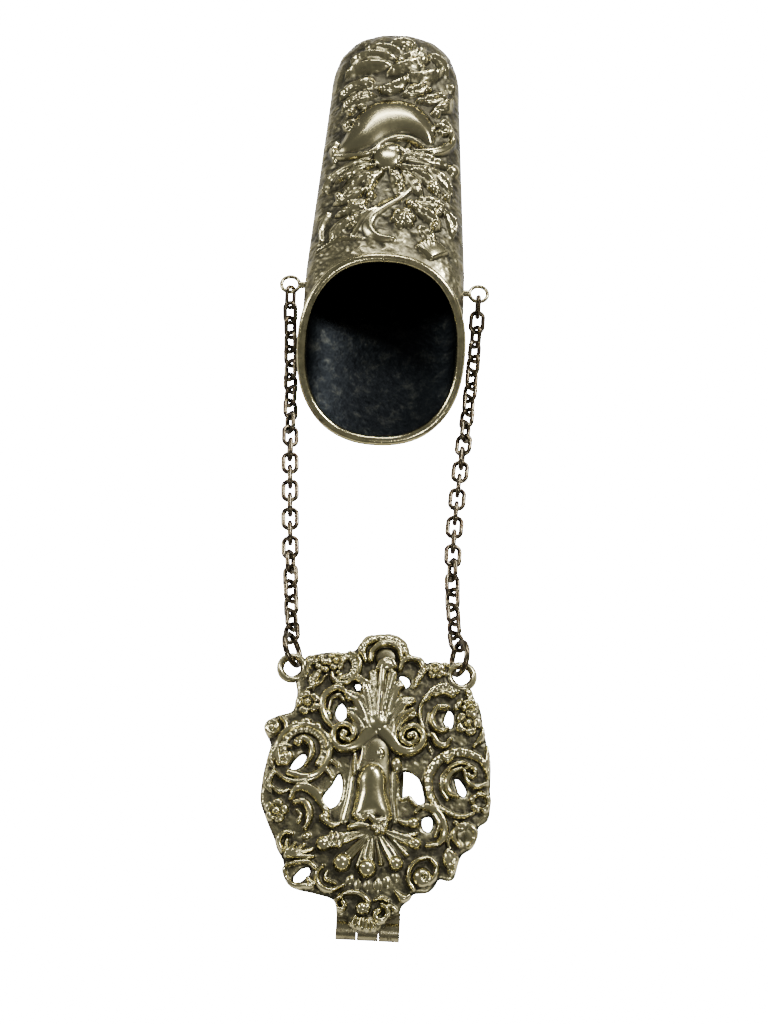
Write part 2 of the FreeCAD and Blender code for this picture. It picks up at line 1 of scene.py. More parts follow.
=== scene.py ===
import math
import bmesh
import bpy
import numpy as np
from mathutils import Matrix, Vector


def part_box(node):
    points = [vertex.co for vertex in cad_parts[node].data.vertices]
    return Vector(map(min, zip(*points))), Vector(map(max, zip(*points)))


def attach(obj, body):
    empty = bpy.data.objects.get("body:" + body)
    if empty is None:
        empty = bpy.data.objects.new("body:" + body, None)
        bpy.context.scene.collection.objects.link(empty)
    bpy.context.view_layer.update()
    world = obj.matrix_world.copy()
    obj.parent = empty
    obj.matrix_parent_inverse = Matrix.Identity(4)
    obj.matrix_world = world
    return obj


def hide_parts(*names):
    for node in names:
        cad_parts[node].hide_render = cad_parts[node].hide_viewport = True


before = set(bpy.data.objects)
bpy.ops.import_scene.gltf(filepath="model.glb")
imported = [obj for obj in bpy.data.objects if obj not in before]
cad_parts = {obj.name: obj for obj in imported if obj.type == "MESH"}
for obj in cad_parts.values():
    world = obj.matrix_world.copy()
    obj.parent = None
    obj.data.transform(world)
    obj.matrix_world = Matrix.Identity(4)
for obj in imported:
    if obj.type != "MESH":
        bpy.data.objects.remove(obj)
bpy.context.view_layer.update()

MM = 0.001


# ---------------------------------------------------------------- silver
# Sterling silver, polished by wear on everything that stands up and dark with sulphide in the
# hollows. The chased pieces carry two point attributes that say which is which.
def node_group(name):
    """New node group that will put out a colour, a roughness and a bump height."""
    group = bpy.data.node_groups.new(name, "ShaderNodeTree")
    for label, kind in (("Base Color", "Color"), ("Roughness", "Float"), ("Bump Height", "Float")):
        group.interface.new_socket(label, in_out="OUTPUT", socket_type="NodeSocket" + kind)
    return group


def put_out(group, colour, rough, height):
    """Join the three results to the outputs of their group."""
    end = add(group, "NodeGroupOutput")
    for label, result in (("Base Color", colour), ("Roughness", rough), ("Bump Height", height)):
        group.links.new(result, end.inputs[label])
    return group


def add(tree, kind, **settings):
    """New node of a kind, with its settings."""
    item = tree.nodes.new(kind)
    for name, value in settings.items():
        setattr(item, name, value)
    return item


def math_node(tree, operation, first, second=None, third=None, clamp=False):
    """Sum, product or product plus a third, of numbers or other nodes' results."""
    item = add(tree, "ShaderNodeMath", operation=operation, use_clamp=clamp)
    for index, value in enumerate((first, second, third)):
        if isinstance(value, (int, float)):
            item.inputs[index].default_value = value
        elif value is not None:
            tree.links.new(value, item.inputs[index])
    return item.outputs[0]


def mix_colour(tree, factor, first, second):
    """First colour x (1 - factor) + second colour x factor."""
    item = add(tree, "ShaderNodeMix", data_type="RGBA")
    for index, value in ((0, factor), (6, first), (7, second)):
        if isinstance(value, (int, float)):
            item.inputs[index].default_value = value
        elif isinstance(value, tuple):
            item.inputs[index].default_value = (*value, 1.0)
        else:
            tree.links.new(value, item.inputs[index])
    return item.outputs[2]


def noise(tree, scale, detail=3.0, roughness=0.55, distortion=0.0):
    """Noise over the object's own coordinates; scale is in blotches per metre."""
    place = add(tree, "ShaderNodeTexCoord")
    item = add(tree, "ShaderNodeTexNoise")
    item.inputs["Scale"].default_value = scale
    item.inputs["Detail"].default_value = detail
    item.inputs["Roughness"].default_value = roughness
    item.inputs["Distortion"].default_value = distortion
    tree.links.new(place.outputs["Object"], item.inputs["Vector"])
    return item.outputs["Fac"]


def ramp(tree, factor, *stops):
    """Colour ramp through (place, grey or colour) stops."""
    item = add(tree, "ShaderNodeValToRGB")
    line = item.color_ramp
    while len(line.elements) < len(stops):
        line.elements.new(0.5)
    for element, (place, colour) in zip(line.elements, stops):
        element.position = place
        element.color = (*(colour if isinstance(colour, tuple) else (colour,) * 3), 1.0)
    tree.links.new(factor, item.inputs[0])
    return item.outputs[0]


def chased_silver(name, bright, dull, tarnish):
    """Worn tops, grey-olive flanks and dark hollows from the attributes wear and deep."""
    group = node_group(name)
    wear = add(group, "ShaderNodeAttribute", attribute_name="wear").outputs["Fac"]
    deep = add(group, "ShaderNodeAttribute", attribute_name="deep").outputs["Fac"]
    blotch = noise(group, 260, 4)
    fine = noise(group, 2600, 3, 0.6)
    worn = math_node(group, "MULTIPLY_ADD", blotch, 0.5, wear)
    worn = math_node(group, "SUBTRACT", worn, 0.25, clamp=True)
    hollow = math_node(group, "MULTIPLY_ADD", fine, 0.5, deep)
    hollow = math_node(group, "SUBTRACT", hollow, 0.25, clamp=True)
    metal = mix_colour(group, worn, dull, bright)
    colour = mix_colour(group, ramp(group, hollow, (0.12, 0.0), (0.75, 1.0)), metal, tarnish)
    rough = math_node(group, "MULTIPLY_ADD", hollow, 0.34, 0.13)
    rough = math_node(group, "MULTIPLY_ADD", fine, 0.06, rough)
    return put_out(group, colour, rough, math_node(group, "MULTIPLY", fine, hollow))


def plain_silver(name, bright, dull, stain, stain_from, scale=420, rough=(0.16, 0.2)):
    """Plain wire or sheet: metal that varies slowly, with stains where the noise is high."""
    group = node_group(name)
    slow = noise(group, scale, 3)
    spots = noise(group, scale * 2.7, 4, 0.6, 0.6)
    fine = noise(group, 3200, 3, 0.6)
    metal = mix_colour(group, ramp(group, slow, (0.32, 0.0), (0.68, 1.0)), dull, bright)
    stained = ramp(group, spots, (stain_from, 0.0), (stain_from + 0.16, 1.0))
    colour = mix_colour(group, stained, metal, stain)
    roughness = math_node(group, "MULTIPLY_ADD", stained, rough[1], rough[0])
    return put_out(group, colour, roughness, fine)


def metal_material(name, group, bump):
    """Bare metal from a node group; bump is the depth of its surface marks in metres."""
    material = bpy.data.materials.new(name)
    material.use_nodes = True
    tree = material.node_tree
    shader = tree.nodes["Principled BSDF"]
    shader.inputs["Metallic"].default_value = 1.0
    source = add(tree, "ShaderNodeGroup", node_tree=group)
    tree.links.new(source.outputs["Base Color"], shader.inputs["Base Color"])
    tree.links.new(source.outputs["Roughness"], shader.inputs["Roughness"])
    relief = add(tree, "ShaderNodeBump")
    relief.inputs["Strength"].default_value = 1.0
    relief.inputs["Distance"].default_value = bump
    tree.links.new(source.outputs["Bump Height"], relief.inputs["Height"])
    tree.links.new(relief.outputs["Normal"], shader.inputs["Normal"])
    return material


SILVER_DARK = (0.05, 0.046, 0.03)
SMOOTH, DRAWN = 0.00002, 0.00003


# ---------------------------------------------------------------- clip plate
# Cast and chased openwork plate: C-scrolls, flowers and leaves round a central column with an
# acanthus leaf, pierced between the scrolls. Made as one height map, cut to its outline.
def smooth_path(points, per=6, closed=False):
    """Cubic curve through the points; at each point its slope is half the neighbours' chord."""
    places = np.array(points, float)
    if closed:
        held = np.vstack([places[-1], places, places[:2]])
    else:
        held = np.vstack([2 * places[0] - places[1], places, 2 * places[-1] - places[-2]])
    share = np.linspace(0, 1, per, endpoint=False)[None, :, None]
    a, b, c, d = (held[k:len(held) - 3 + k, None, :] for k in range(4))
    curve = 0.5 * (2 * b + (c - a) * share + (2 * a - 5 * b + 4 * c - d) * share**2
                   + (3 * b - a - 3 * c + d) * share**3)
    curve = curve.reshape(-1, places.shape[1])
    return curve if closed else np.vstack([curve, places[-1]])


def nearest(across, along, path):
    """Distance to a path, the share of its length at the nearest place, and the side of it."""
    first, span = path[:-1], path[1:] - path[:-1]
    length = np.maximum(np.hypot(span[:, 0], span[:, 1]), 1e-9)
    run = np.concatenate([[0], np.cumsum(length)])
    px, py = across[..., None] - first[:, 0], along[..., None] - first[:, 1]
    part = np.clip((px * span[:, 0] + py * span[:, 1]) / length**2, 0, 1)
    squared = (px - part * span[:, 0])**2 + (py - part * span[:, 1])**2
    pick = squared.argmin(-1)[..., None]
    chosen = [np.take_along_axis(values, pick, -1)[..., 0] for values in (squared, part, px, py)]
    pick = pick[..., 0]
    side = np.sign(span[pick, 0] * chosen[3] - span[pick, 1] * chosen[2])
    return np.sqrt(chosen[0]), (run[pick] + chosen[1] * length[pick]) / run[-1], side


def inside_distance(across, along, outline):
    """Distance to a closed outline, positive inside it (even-odd rule)."""
    closed = np.vstack([outline, outline[:1]])
    distance = np.full(across.shape, 1e9)
    crossings = np.zeros(across.shape, int)
    for start in range(0, len(closed) - 1, 24):
        piece = closed[start:start + 25]
        distance = np.minimum(distance, nearest(across, along, piece)[0])
    for (x0, y0), (x1, y1) in zip(closed[:-1], closed[1:]):
        if y0 != y1:
            level = (along >= min(y0, y1)) & (along < max(y0, y1))
            crossings += level & (across < x0 + (along - y0) * (x1 - x0) / (y1 - y0))
    return np.where(crossings % 2 == 1, distance, -distance)


class Relief:
    """Height map in millimetres over a rectangle. Each motif is laid on with a maximum."""

    def __init__(self, low, high, step):
        self.step = step
        self.across = np.arange(low[0], high[0] + step / 2, step)
        self.along = np.arange(low[1], high[1] + step / 2, step)
        self.x, self.y = np.meshgrid(self.across, self.along)
        self.height = np.full(self.x.shape, -9.0)

    def window(self, path, margin):
        low, high = path.min(0) - margin, path.max(0) + margin
        columns = slice(*np.searchsorted(self.across, [low[0], high[0]]))
        return slice(*np.searchsorted(self.along, [low[1], high[1]])), columns

    def lay(self, where, values, inside):
        self.height[where] = np.where(inside, np.maximum(self.height[where], values),
                                      self.height[where])

    def stroke(self, points, widths, base, rise, form="round", ribs=0):
        """Raised line. Its half width runs through the widths; the section is half round, or
        hollow in the middle, or steep on one side."""
        path = smooth_path(points) if len(points) > 2 else np.array(points, float)
        widths = np.atleast_1d(np.array(widths, float))
        where = self.window(path, widths.max() + self.step)
        distance, share, side = nearest(self.x[where], self.y[where], path)
        half = np.interp(share, np.linspace(0, 1, len(widths)), widths)
        out = distance / half
        section = np.clip(1 - out**2, 0, 1)**0.55
        if form == "hollow":
            section = section * (1 - 0.62 * np.exp(-(out / 0.5)**2)) * 1.25
        if form == "left":
            section = section * (0.72 + 0.4 * side * np.minimum(out, 1))
        if form == "right":
            section = section * (0.72 - 0.4 * side * np.minimum(out, 1))
        if ribs:
            section = section * (0.86 + 0.14 * np.cos(2 * np.pi * ribs * share))
        self.lay(where, base + rise * section, out < 1)

    def dome(self, x, y, wide, long, base, rise, turn=0.0, power=0.5):
        """Oval boss; turn in degrees."""
        middle = np.array([[x, y]])
        where = self.window(middle, max(wide, long))
        cosine, sine = math.cos(math.radians(turn)), math.sin(math.radians(turn))
        dx, dy = self.x[where] - x, self.y[where] - y
        out = ((dx * cosine + dy * sine) / wide)**2 + ((dy * cosine - dx * sine) / long)**2
        self.lay(where, base + rise * np.clip(1 - out, 0, 1)**power, out < 1)

    def score(self, path, half, depth):
        """Chased line: a narrow groove along a path."""
        where = self.window(path, 3 * half)
        distance = nearest(self.x[where], self.y[where], path)[0]
        self.height[where] -= depth * np.exp(-(distance / half)**2)

    def cushion(self, points, base, rise, soft):
        """Smooth pad with a closed outline that swells up from its edge."""
        outline = smooth_path(points, 5, closed=True)
        where = self.window(outline, self.step)
        depth = inside_distance(self.x[where], self.y[where], outline)
        self.lay(where, base + rise * (1 - np.exp(-np.clip(depth, 0, 99) / soft)), depth > 0)

    def flower(self, x, y, radius, base, rise, petals=5, turn=0.0, eye=0.3, pit=False):
        """Open flower of cupped petals round a button. Its reach is the radius times
        0.64 + 0.36 |cos(petals x angle / 2)|^0.5, and grooves part the petals and the button."""
        where = self.window(np.array([[x, y]]), radius)
        dx, dy = self.x[where] - x, self.y[where] - y
        far = np.hypot(dx, dy)
        petal = np.abs(np.cos(petals / 2 * (np.arctan2(dy, dx) - math.radians(turn))))
        out = far / (radius * (0.64 + 0.36 * petal**0.5))
        section = np.clip(1 - out**4, 0, 1)**0.5 * (0.65 + 0.5 * out**2)
        section -= 0.5 * np.exp(-(petal / 0.22)**2) * np.clip(2 * out - 0.4, 0, 1)
        section -= 0.55 * np.exp(-((far / radius - 0.4) / 0.1)**2)
        self.lay(where, base + rise * section, out < 1)
        if not pit:
            self.dome(x, y, eye * radius, eye * radius, base + 0.3 * rise, rise)

    def leaf(self, points, width, lobes, base, rise, turn_in=0.5):
        """Leaf on a curved midrib: lobed edges, a groove down the middle and slanting veins."""
        path = smooth_path(points)
        where = self.window(path, width)
        distance, share, side = nearest(self.x[where], self.y[where], path)
        swell = np.sin(np.pi * np.clip(share, 0.02, 0.985)**0.75)**0.7
        slant = np.clip(share - turn_in * distance / width, 0, 1)
        half = width * swell * (0.8 + 0.2 * np.abs(np.sin(np.pi * lobes * slant)))
        out = distance / np.maximum(half, 0.05)
        body = np.clip(1 - out**2, 0, 1)**0.5 * (0.86 + 0.14 * np.cos(2 * np.pi * lobes * slant))
        body = body * (1 + 0.35 * side) - 0.3 * np.exp(-(distance / (0.12 * width))**2)
        self.lay(where, base + rise * body, out < 1)


def lay_each(motif, *rows):
    """Lay one kind of motif on its height map, once for each row of its values."""
    for row in rows:
        motif(*row)


def spiral(x, y, outer, inner, start, turns, steps=9):
    """Points of a spiral that closes in evenly; start and turns in degrees, + is anticlockwise."""
    share = np.linspace(0, 1, max(4, int(abs(turns) / 360 * steps) + 1))
    angle = np.radians(start + turns * share)
    radius = outer + (inner - outer) * share
    return list(zip(x + radius * np.cos(angle), y + radius * np.sin(angle)))


def blurred(values, cells):
    """Mean over a square of about twice that many cells, from running sums along each axis."""
    for axis in (0, 1):
        pad = [(0, 0), (0, 0)]
        pad[axis] = (cells + 1, cells)
        total = np.cumsum(np.pad(values, pad, mode="edge"), axis=axis)
        high = np.take(total, range(2 * cells + 1, total.shape[axis]), axis=axis)
        low = np.take(total, range(0, total.shape[axis] - 2 * cells - 1), axis=axis)
        values = (high - low) / (2 * cells + 1)
    return values


def grain(shape, cells, seed):
    """Even random field of mean 0 and spread 1, blurred over a few cells."""
    field = np.random.default_rng(seed).normal(size=shape)
    field = blurred(blurred(field, cells), cells) if cells else field
    return (field - field.mean()) / field.std()


plate = Relief((-27.0, -33.6), (27.0, 36.4), 0.2)
GROUND, PLATE_BACK, PLATE_LOWEST, PLATE_TOP = 7.0, 5.6, 6.0, 10.36
EYE_HOLE, EYE_EDGE, EYE_MIDDLE, EYE_WIRE, EYE_BLEND = 1.9, 3.6, 2.75, 0.85, 3.9

OUTLINE = [
    (-19, 20.3), (-19.3, 17), (-20, 15.5), (-23.6, 14.1), (-25.8, 11.5), (-24.4, 8.6),
    (-24, 7), (-24.8, 3), (-25.2, 0), (-25.3, -5), (-24.2, -8), (-22.8, -11),
    (-21.5, -13.5), (-20.8, -15.5), (-19.5, -17.5), (-19, -19), (-19.2, -20.5),
    (-18, -22.8), (-16, -24), (-12, -24.7), (-8.2, -25.6), (-7.2, -27),
    (-6.7, -29.2), (-4.6, -29.6), (-4, -31.2), (-1, -32.3), (2, -32.1), (3.6, -30.8),
    (4.2, -29), (6.4, -28.2), (7.2, -26.4), (8.8, -25), (9.6, -23.8), (12.5, -23.3),
    (14, -22), (15, -20.4), (17, -20.6), (18.3, -19.8), (19, -17), (19.9, -14.8),
    (22, -13.3), (23.1, -11), (23.4, -8.6), (25.3, -7), (25.9, -4), (25.8, 0),
    (25.8, 6), (24.9, 10), (24, 14), (23.3, 18), (22, 20.5), (20.8, 23.2),
    (18.4, 26.5), (15.2, 28.9), (12, 29.3), (10.5, 28.9), (9, 29.8), (6.8, 30.2),
    (6.2, 32.5), (4.5, 34.3), (2, 35.3), (0, 35), (-3.6, 34.5), (-5.3, 32.2),
    (-6.5, 31), (-9, 30), (-11.5, 30.4), (-15.5, 29.6), (-18.2, 28.2), (-20.2, 26),
    (-19.6, 23),
]
HOLES = [
    [(-9.6, 16.6), (-8.6, 18), (-7.5, 16.8), (-7.5, 14.8), (-8.6, 13.9), (-9.6, 15)],
    [(4.5, 25.3), (6.2, 25), (6.8, 23.6), (5.9, 22.5), (5, 23.3)],
    [(-5.7, 22.6), (-4.8, 22.9), (-4.3, 22), (-5.2, 21.4)],
    [(15.9, 17.6), (17, 16.6), (16.8, 13.9), (15.9, 13.7), (15, 15)],
    [(-19.1, 2.5), (-18, 4.6), (-16.5, 5.8), (-15.7, 4.9), (-16.5, 3.3), (-18, 2.2)],
    [(-8.2, 1.6), (-7.4, 0), (-7.4, -3), (-8.4, -5.4), (-10.2, -6), (-11.4, -3.8),
     (-9.6, -1)],
    [(5.5, 2.2), (7, 3), (9.5, 1.7), (10.6, -1), (11, -3.8), (9.2, -4), (7.9, -2.6),
     (6.1, -2.8), (5.6, 0)],
    [(11.1, -7.2), (12.6, -7), (13.1, -8.4), (12.5, -10.1), (11.2, -9.8), (10.8, -8.4)],
    [(17.9, 1.9), (19, 1.5), (20.3, -0.6), (20, -1.9), (18.9, -1.5), (18.2, 0.2)],
    [(-16.6, -21.6), (-15.2, -19.8), (-13.6, -19.3), (-13.3, -20.6), (-14.8, -22.2),
     (-16.2, -22.7)],
]
EYES = [(-20.5, 26.1), (18.7, 26.1)]

inside = inside_distance(plate.x, plate.y, smooth_path(OUTLINE, 4, closed=True))
eye_far = [np.hypot(plate.x - x, plate.y - y) for x, y in EYES]
for far in eye_far:
    inside = np.maximum(inside, EYE_EDGE - far)
for hole in HOLES:
    edge = smooth_path(hole, 4, closed=True)
    inside = np.minimum(inside, -inside_distance(plate.x, plate.y, edge))
for far in eye_far:
    inside = np.minimum(inside, far - EYE_HOLE)

ground = GROUND + 0.45 * np.clip(1 - np.hypot(plate.x, plate.y) / 30, 0, 1)
ground = ground + 0.03 * grain(plate.x.shape, 1, 3) + 0.02 * grain(plate.x.shape, 0, 4)
plate.height = np.maximum(plate.height, ground)


def plate_leaf():
    """Acanthus leaf with a curled tip, springing from two volutes above the column."""
    plate.dome(0.2, 15.5, 6.4, 8.2, 7.9, 0.9, power=0.6)
    plate.dome(0.4, 20.5, 3.6, 6.2, 8.3, 0.8, power=0.6)
    for points, widths, base in (
            ([(-2.2, 10.8), (-3.8, 13.6), (-5.8, 15.6), (-7.9, 16.2)], (0.8, 1.3, 1.5, 0.8), 7.9),
            ([(2.4, 10.8), (4.2, 13.6), (6, 15.4), (8, 16)], (0.8, 1.3, 1.5, 0.8), 7.9),
            ([(-1.6, 11.4), (-3, 15.6), (-4.8, 18.8), (-6.9, 20)], (0.8, 1.4, 1.7, 1), 8.2),
            ([(1.8, 11.4), (3.4, 15.6), (5.2, 18.4), (7.3, 19.2)], (0.8, 1.4, 1.7, 1), 8.2),
            ([(-0.9, 12), (-1.8, 17.4), (-3, 21.8), (-4.7, 23.6)], (0.8, 1.3, 1.6, 1), 8.5),
            ([(1.2, 12), (2.2, 17.4), (3.4, 21.6), (5, 23)], (0.8, 1.3, 1.6, 1), 8.5),
            ([(-0.5, 12), (-0.8, 18), (-1.7, 24.8)], (0.5, 0.9, 1.1), 8.7),
            ([(0.8, 12), (1.4, 18), (2.7, 25)], (0.5, 0.9, 1.1), 8.7),
            ([(0.1, 12), (0.2, 18), (0.5, 26.2)], (0.5, 0.7, 0.8), 9)):
        plate.stroke(points, widths, base, 0.95)
        path = smooth_path(points)
        beside = np.array([0.62, 0.0])
        for line, depth in ((path, 0.4), (path[4:-3] + beside, 0.22), (path[4:-3] - beside, 0.22)):
            plate.score(line, 0.2, depth)
    plate.dome(1.3, 27, 2.3, 1.5, 8.4, 1.6, 20)
    plate.stroke([(-0.8, 26.2), (0.2, 28), (2.2, 28.4), (3.2, 27)], (0.5, 0.6, 0.5), 9, 0.9)
    plate.dome(0, 13.4, 2.6, 3, 8.4, 1.5, power=0.8)
    left = [(-0.4, 12.4), (-2.6, 10.2), (-5, 8), (-8, 7.3), (-9.9, 9), (-9.7, 11.6),
            (-7.9, 12.9), (-6, 12.1), (-5.4, 10.3), (-6.6, 9.2), (-8.1, 9.9), (-7.8, 11.1)]
    right = [(0.4, 12.4), (2.8, 10.4), (5, 7.9), (7.8, 7.4), (10.1, 9.2), (10.2, 11.6),
             (8.2, 13.2), (6, 12.3), (5.4, 10.2), (7, 8.9), (8.7, 9.9), (8.2, 11.4),
             (7.3, 11)]
    plate.stroke(left, (2, 1.7, 1, 0.85, 0.75, 0.7, 0.6), 8, 1.35)
    plate.stroke(right, (2, 1.7, 1.05, 0.9, 0.8, 0.75, 0.7), 8, 1.55)
    plate.dome(-7.3, 10.8, 0.7, 0.7, 8.4, 0.9)
    plate.dome(7.3, 10.9, 0.9, 0.9, 8.6, 1.1)
    plate.stroke([(7.6, 17), (5, 15.2), (3.8, 12.8), (4, 10)], (0.5, 0.7, 0.6), 8.4, 1)
    plate.stroke([(7, 15.4), (5.4, 14), (4.6, 12)], (0.4, 0.5, 0.4), 8.2, 0.9)


def plate_column():
    """Short column with a smooth shield on it, between two pilasters, over a fan of petals."""
    lay_each(
        plate.cushion,
        ([(-5.4, 6.6), (-3.9, 6.8), (-4.1, 0), (-4.6, -5), (-5.2, -9.4), (-7.4, -9.2), (-6.4, -4),
          (-5.9, 1)], 7.3, 0.9, 0.7),
        ([(3.4, 6.4), (4.8, 6), (5, 1), (5, -4), (5.6, -8.6), (3.8, -8.8), (3.4, -4), (3.2, 1)],
         7.3, 0.9, 0.7),
        ([(-1, 4.4), (1.2, 3.5), (2.4, 1), (2.6, -2), (3.3, -4.6), (4.1, -7.2), (3.4, -9),
          (0.4, -8.4), (-2.2, -8.8), (-4.8, -8.4), (-4.6, -5.8), (-4, -2.6), (-4.1, 0.6),
          (-3, 3.2)], 8.2, 2.1, 1))
    lay_each(
        plate.stroke,
        ([(-0.5, 7.8), (-0.5, 0), (-0.5, -8.6)], (3.4, 3.8, 4.8), 7.6, 1.2),
        ([(-4.9, 6), (-4.6, 3.6), (-4.7, 1.4)], (0.5, 0.7, 0.4), 7.9, 0.9),
        ([(-3, 7.6), (-3.2, 5), (-3.8, 2.6)], (0.5, 0.6, 0.4), 8.2, 0.6),
        ([(-4.3, -7.8), (-2.6, -8.6), (-1, -7.7), (0.4, -8.8), (2.6, -8.4)], (0.5, 0.8, 0.6), 9, 1),
        ([(-5.2, -10.4), (-3.2, -9.8), (-1.2, -9.9)], (0.6, 0.8, 0.6), 8.4, 1))
    lay_each(
        plate.dome,
        (4.6, 4.2, 1.2, 1.8, 7.8, 1),
        (0.9, 6.4, 0.8, 1.3, 8.4, 0.8))
    for x, y, radius in ((0.2, -10.2, 0.8), (1.2, -9.2, 0.75), (1.4, -10.6, 0.75), (2.5, -9.8, 0.8),
                         (2.9, -8.8, 0.6), (0.9, -11.4, 0.6), (2.3, -11.1, 0.6)):
        plate.dome(x, y, radius, radius, 8.9, 1)


def plate_fan():
    """Ribs that spread from under the shield to a row of beads."""
    ribs = [((-1.8, -11.4), (-10.6, -14), 1.3, 1.3), ((-1, -12), (-6.3, -18), 1, 1.95),
            ((-0.2, -12.2), (-0.8, -19), 1.1, 2), ((1.6, -12), (5.4, -17.6), 1, 1.6),
            ((2.8, -11), (9.5, -13.1), 0.9, 1.3)]
    plate.cushion([(-3, -9.6), (-8.6, -11.6), (-11, -14.4), (-8.2, -16.6), (-5.6, -18.6),
                   (-0.8, -19.6), (3.4, -18.2), (6.4, -16.6), (9.4, -13.4), (6.6, -10.2)], 7.2,
                  0.55, 1.2)
    lay_each(
        plate.stroke,
        ([(-10.4, -9.2), (-9, -10), (-7.3, -9.6)], (0.7, 0.7, 0.4), 7.6, 1),
        ([(8.6, -8.4), (7.2, -8.8), (5.6, -8.3)], (0.8, 0.7, 0.4), 7.6, 1),
        ([(4.4, -10.6), (7, -11.4), (9.5, -11)], (0.3, 0.5, 0.4), 7.6, 0.8))
    lay_each(
        plate.dome,
        (-10.8, -8.4, 1.2, 1.1, 7.8, 1.1),
        (8.9, -8.6, 1.3, 1.2, 7.8, 1.2))
    for start, end, width, bead in ribs:
        start, end = np.array(start), np.array(end)
        path = [tuple(start), tuple((start + end) / 2), tuple(end)]
        plate.stroke(path, (0.5, width * 1.1, width * 1.3), 7.6, 1.2, "hollow")
        plate.dome(end[0], end[1], bead, bead, 7.9, bead * 0.95)
    for start, end in (((-2.6, -12.4), (-4.4, -17)), ((-1.2, -12.8), (-2.9, -18.6)),
                       ((0.8, -12.6), (2.2, -17.8)), ((2.4, -12), (3.6, -16)),
                       ((3.4, -11.6), (7.6, -15.6))):
        plate.stroke([start, end], (0.35, 0.55), 7.5, 0.7)
    for x in (-9.6, -8.6, -7.6, -6.6):
        plate.stroke([(x - 0.5, -14.6), (x + 0.6, -12.0 - 0.12 * (x + 6.6))], (0.42, 0.42), 8.2, 0.6)


def plate_crest():
    """Shell crest at the top between a small volute and a flower."""
    lay_each(
        plate.stroke,
        ([(-4.6, 30.6), (-3.9, 32.8), (-1.6, 34.2), (1.4, 34.4), (4.3, 33.3), (5.7, 30.9)],
         (0.9, 1.1, 1.3, 1.1, 0.8), 7.6, 1.2, "right", 7),
        ([(-2.4, 28.4), (-2.2, 30.6), (-0.4, 32.4), (1.8, 32.7), (3.9, 31.4), (4.6, 29.2)],
         (0.6, 0.7, 0.8, 0.7, 0.6), 7.9, 1.1),
        ([(-5.4, 32.9), (-4.6, 31), (-3.6, 28.4)], (0.7, 0.8, 0.5), 7.3, 0.9),
        (spiral(7.4, 27.2, 3, 1.9, 190, -230), (0.6, 0.85, 0.8, 0.5), 7.5, 1.1),
        ([(9.9, 26.6), (8.6, 24.6), (8, 22.6)], (0.8, 0.8, 0.4), 7.4, 1, "round", 4),
        (spiral(14.9, 27.2, 1.5, 1, 60, 240), (0.5, 0.5), 7.3, 0.9),
        ([(7.4, 30), (9, 29), (10, 27.6)], (0.5, 0.6, 0.5), 7.4, 0.9))
    plate.dome(1, 29.4, 2.4, 2.4, 7.4, 0.5)
    plate.flower(12.6, 27, 2.2, 7.3, 1.2, 5, 20)


def plate_upper_left():
    """Ribbed shell scroll, rose and leaves between the crest and the left eye."""
    lay_each(
        plate.stroke,
        ([(-7.4, 30.1), (-5.6, 29.2), (-4.8, 27), (-5.6, 24.4), (-7.6, 22.8), (-10, 22.6)],
         (0.55, 0.6, 0.6, 0.5), 7.7, 1),
        ([(-8.6, 30), (-6.6, 28.6), (-6, 26.6), (-6.9, 24.8), (-8.6, 24)], (0.9, 0.9, 0.9, 0.8),
         7.4, 0.7, "round", 11),
        ([(-11.2, 24.9), (-10.6, 23.3), (-9.2, 24.2), (-9.8, 25.2)], (0.5, 0.7, 0.5), 7.6, 1),
        ([(-12.4, 24.4), (-14, 22.4), (-16.6, 21)], (0.3, 0.5, 0.4), 7.3, 0.8),
        ([(-7, 18.8), (-8.2, 21), (-10.4, 21.4), (-12.6, 19.4), (-12.9, 16.6), (-12, 14.2),
          (-10.2, 12.2)], (0.5, 0.8, 0.95, 0.85, 0.6), 7.6, 1.2),
        ([(-8.2, 18.7), (-9.4, 19.8), (-10.8, 18.8), (-11.2, 16.6)], (0.4, 0.55, 0.4), 7.4, 0.9))
    lay_each(
        plate.dome,
        (-11.4, 15, 1, 1.5, 7.5, 1.2, 25),
        (-13.4, 16.8, 0.8, 0.8, 7.3, 0.9))
    lay_each(
        plate.flower,
        (-10.4, 28, 2.5, 7.3, 1.3, 6, 10),
        (-16.3, 17.7, 3, 7.3, 1.3, 5, 35))
    lay_each(
        plate.leaf,
        ([(-15.4, 29), (-17.6, 26.2), (-17.2, 23.4)], 1.7, 4, 7.3, 1.2),
        ([(-13.8, 25.4), (-15.4, 23.4), (-15.2, 20.6)], 1.3, 4, 7.4, 1.2))
    for x, y in ((-13.2, 27.6), (-14.4, 26.4), (-13.9, 28.6), (-12.8, 25.8), (-15.2, 27.6)):
        plate.dome(x, y, 0.9, 0.8, 7.4, 0.9)


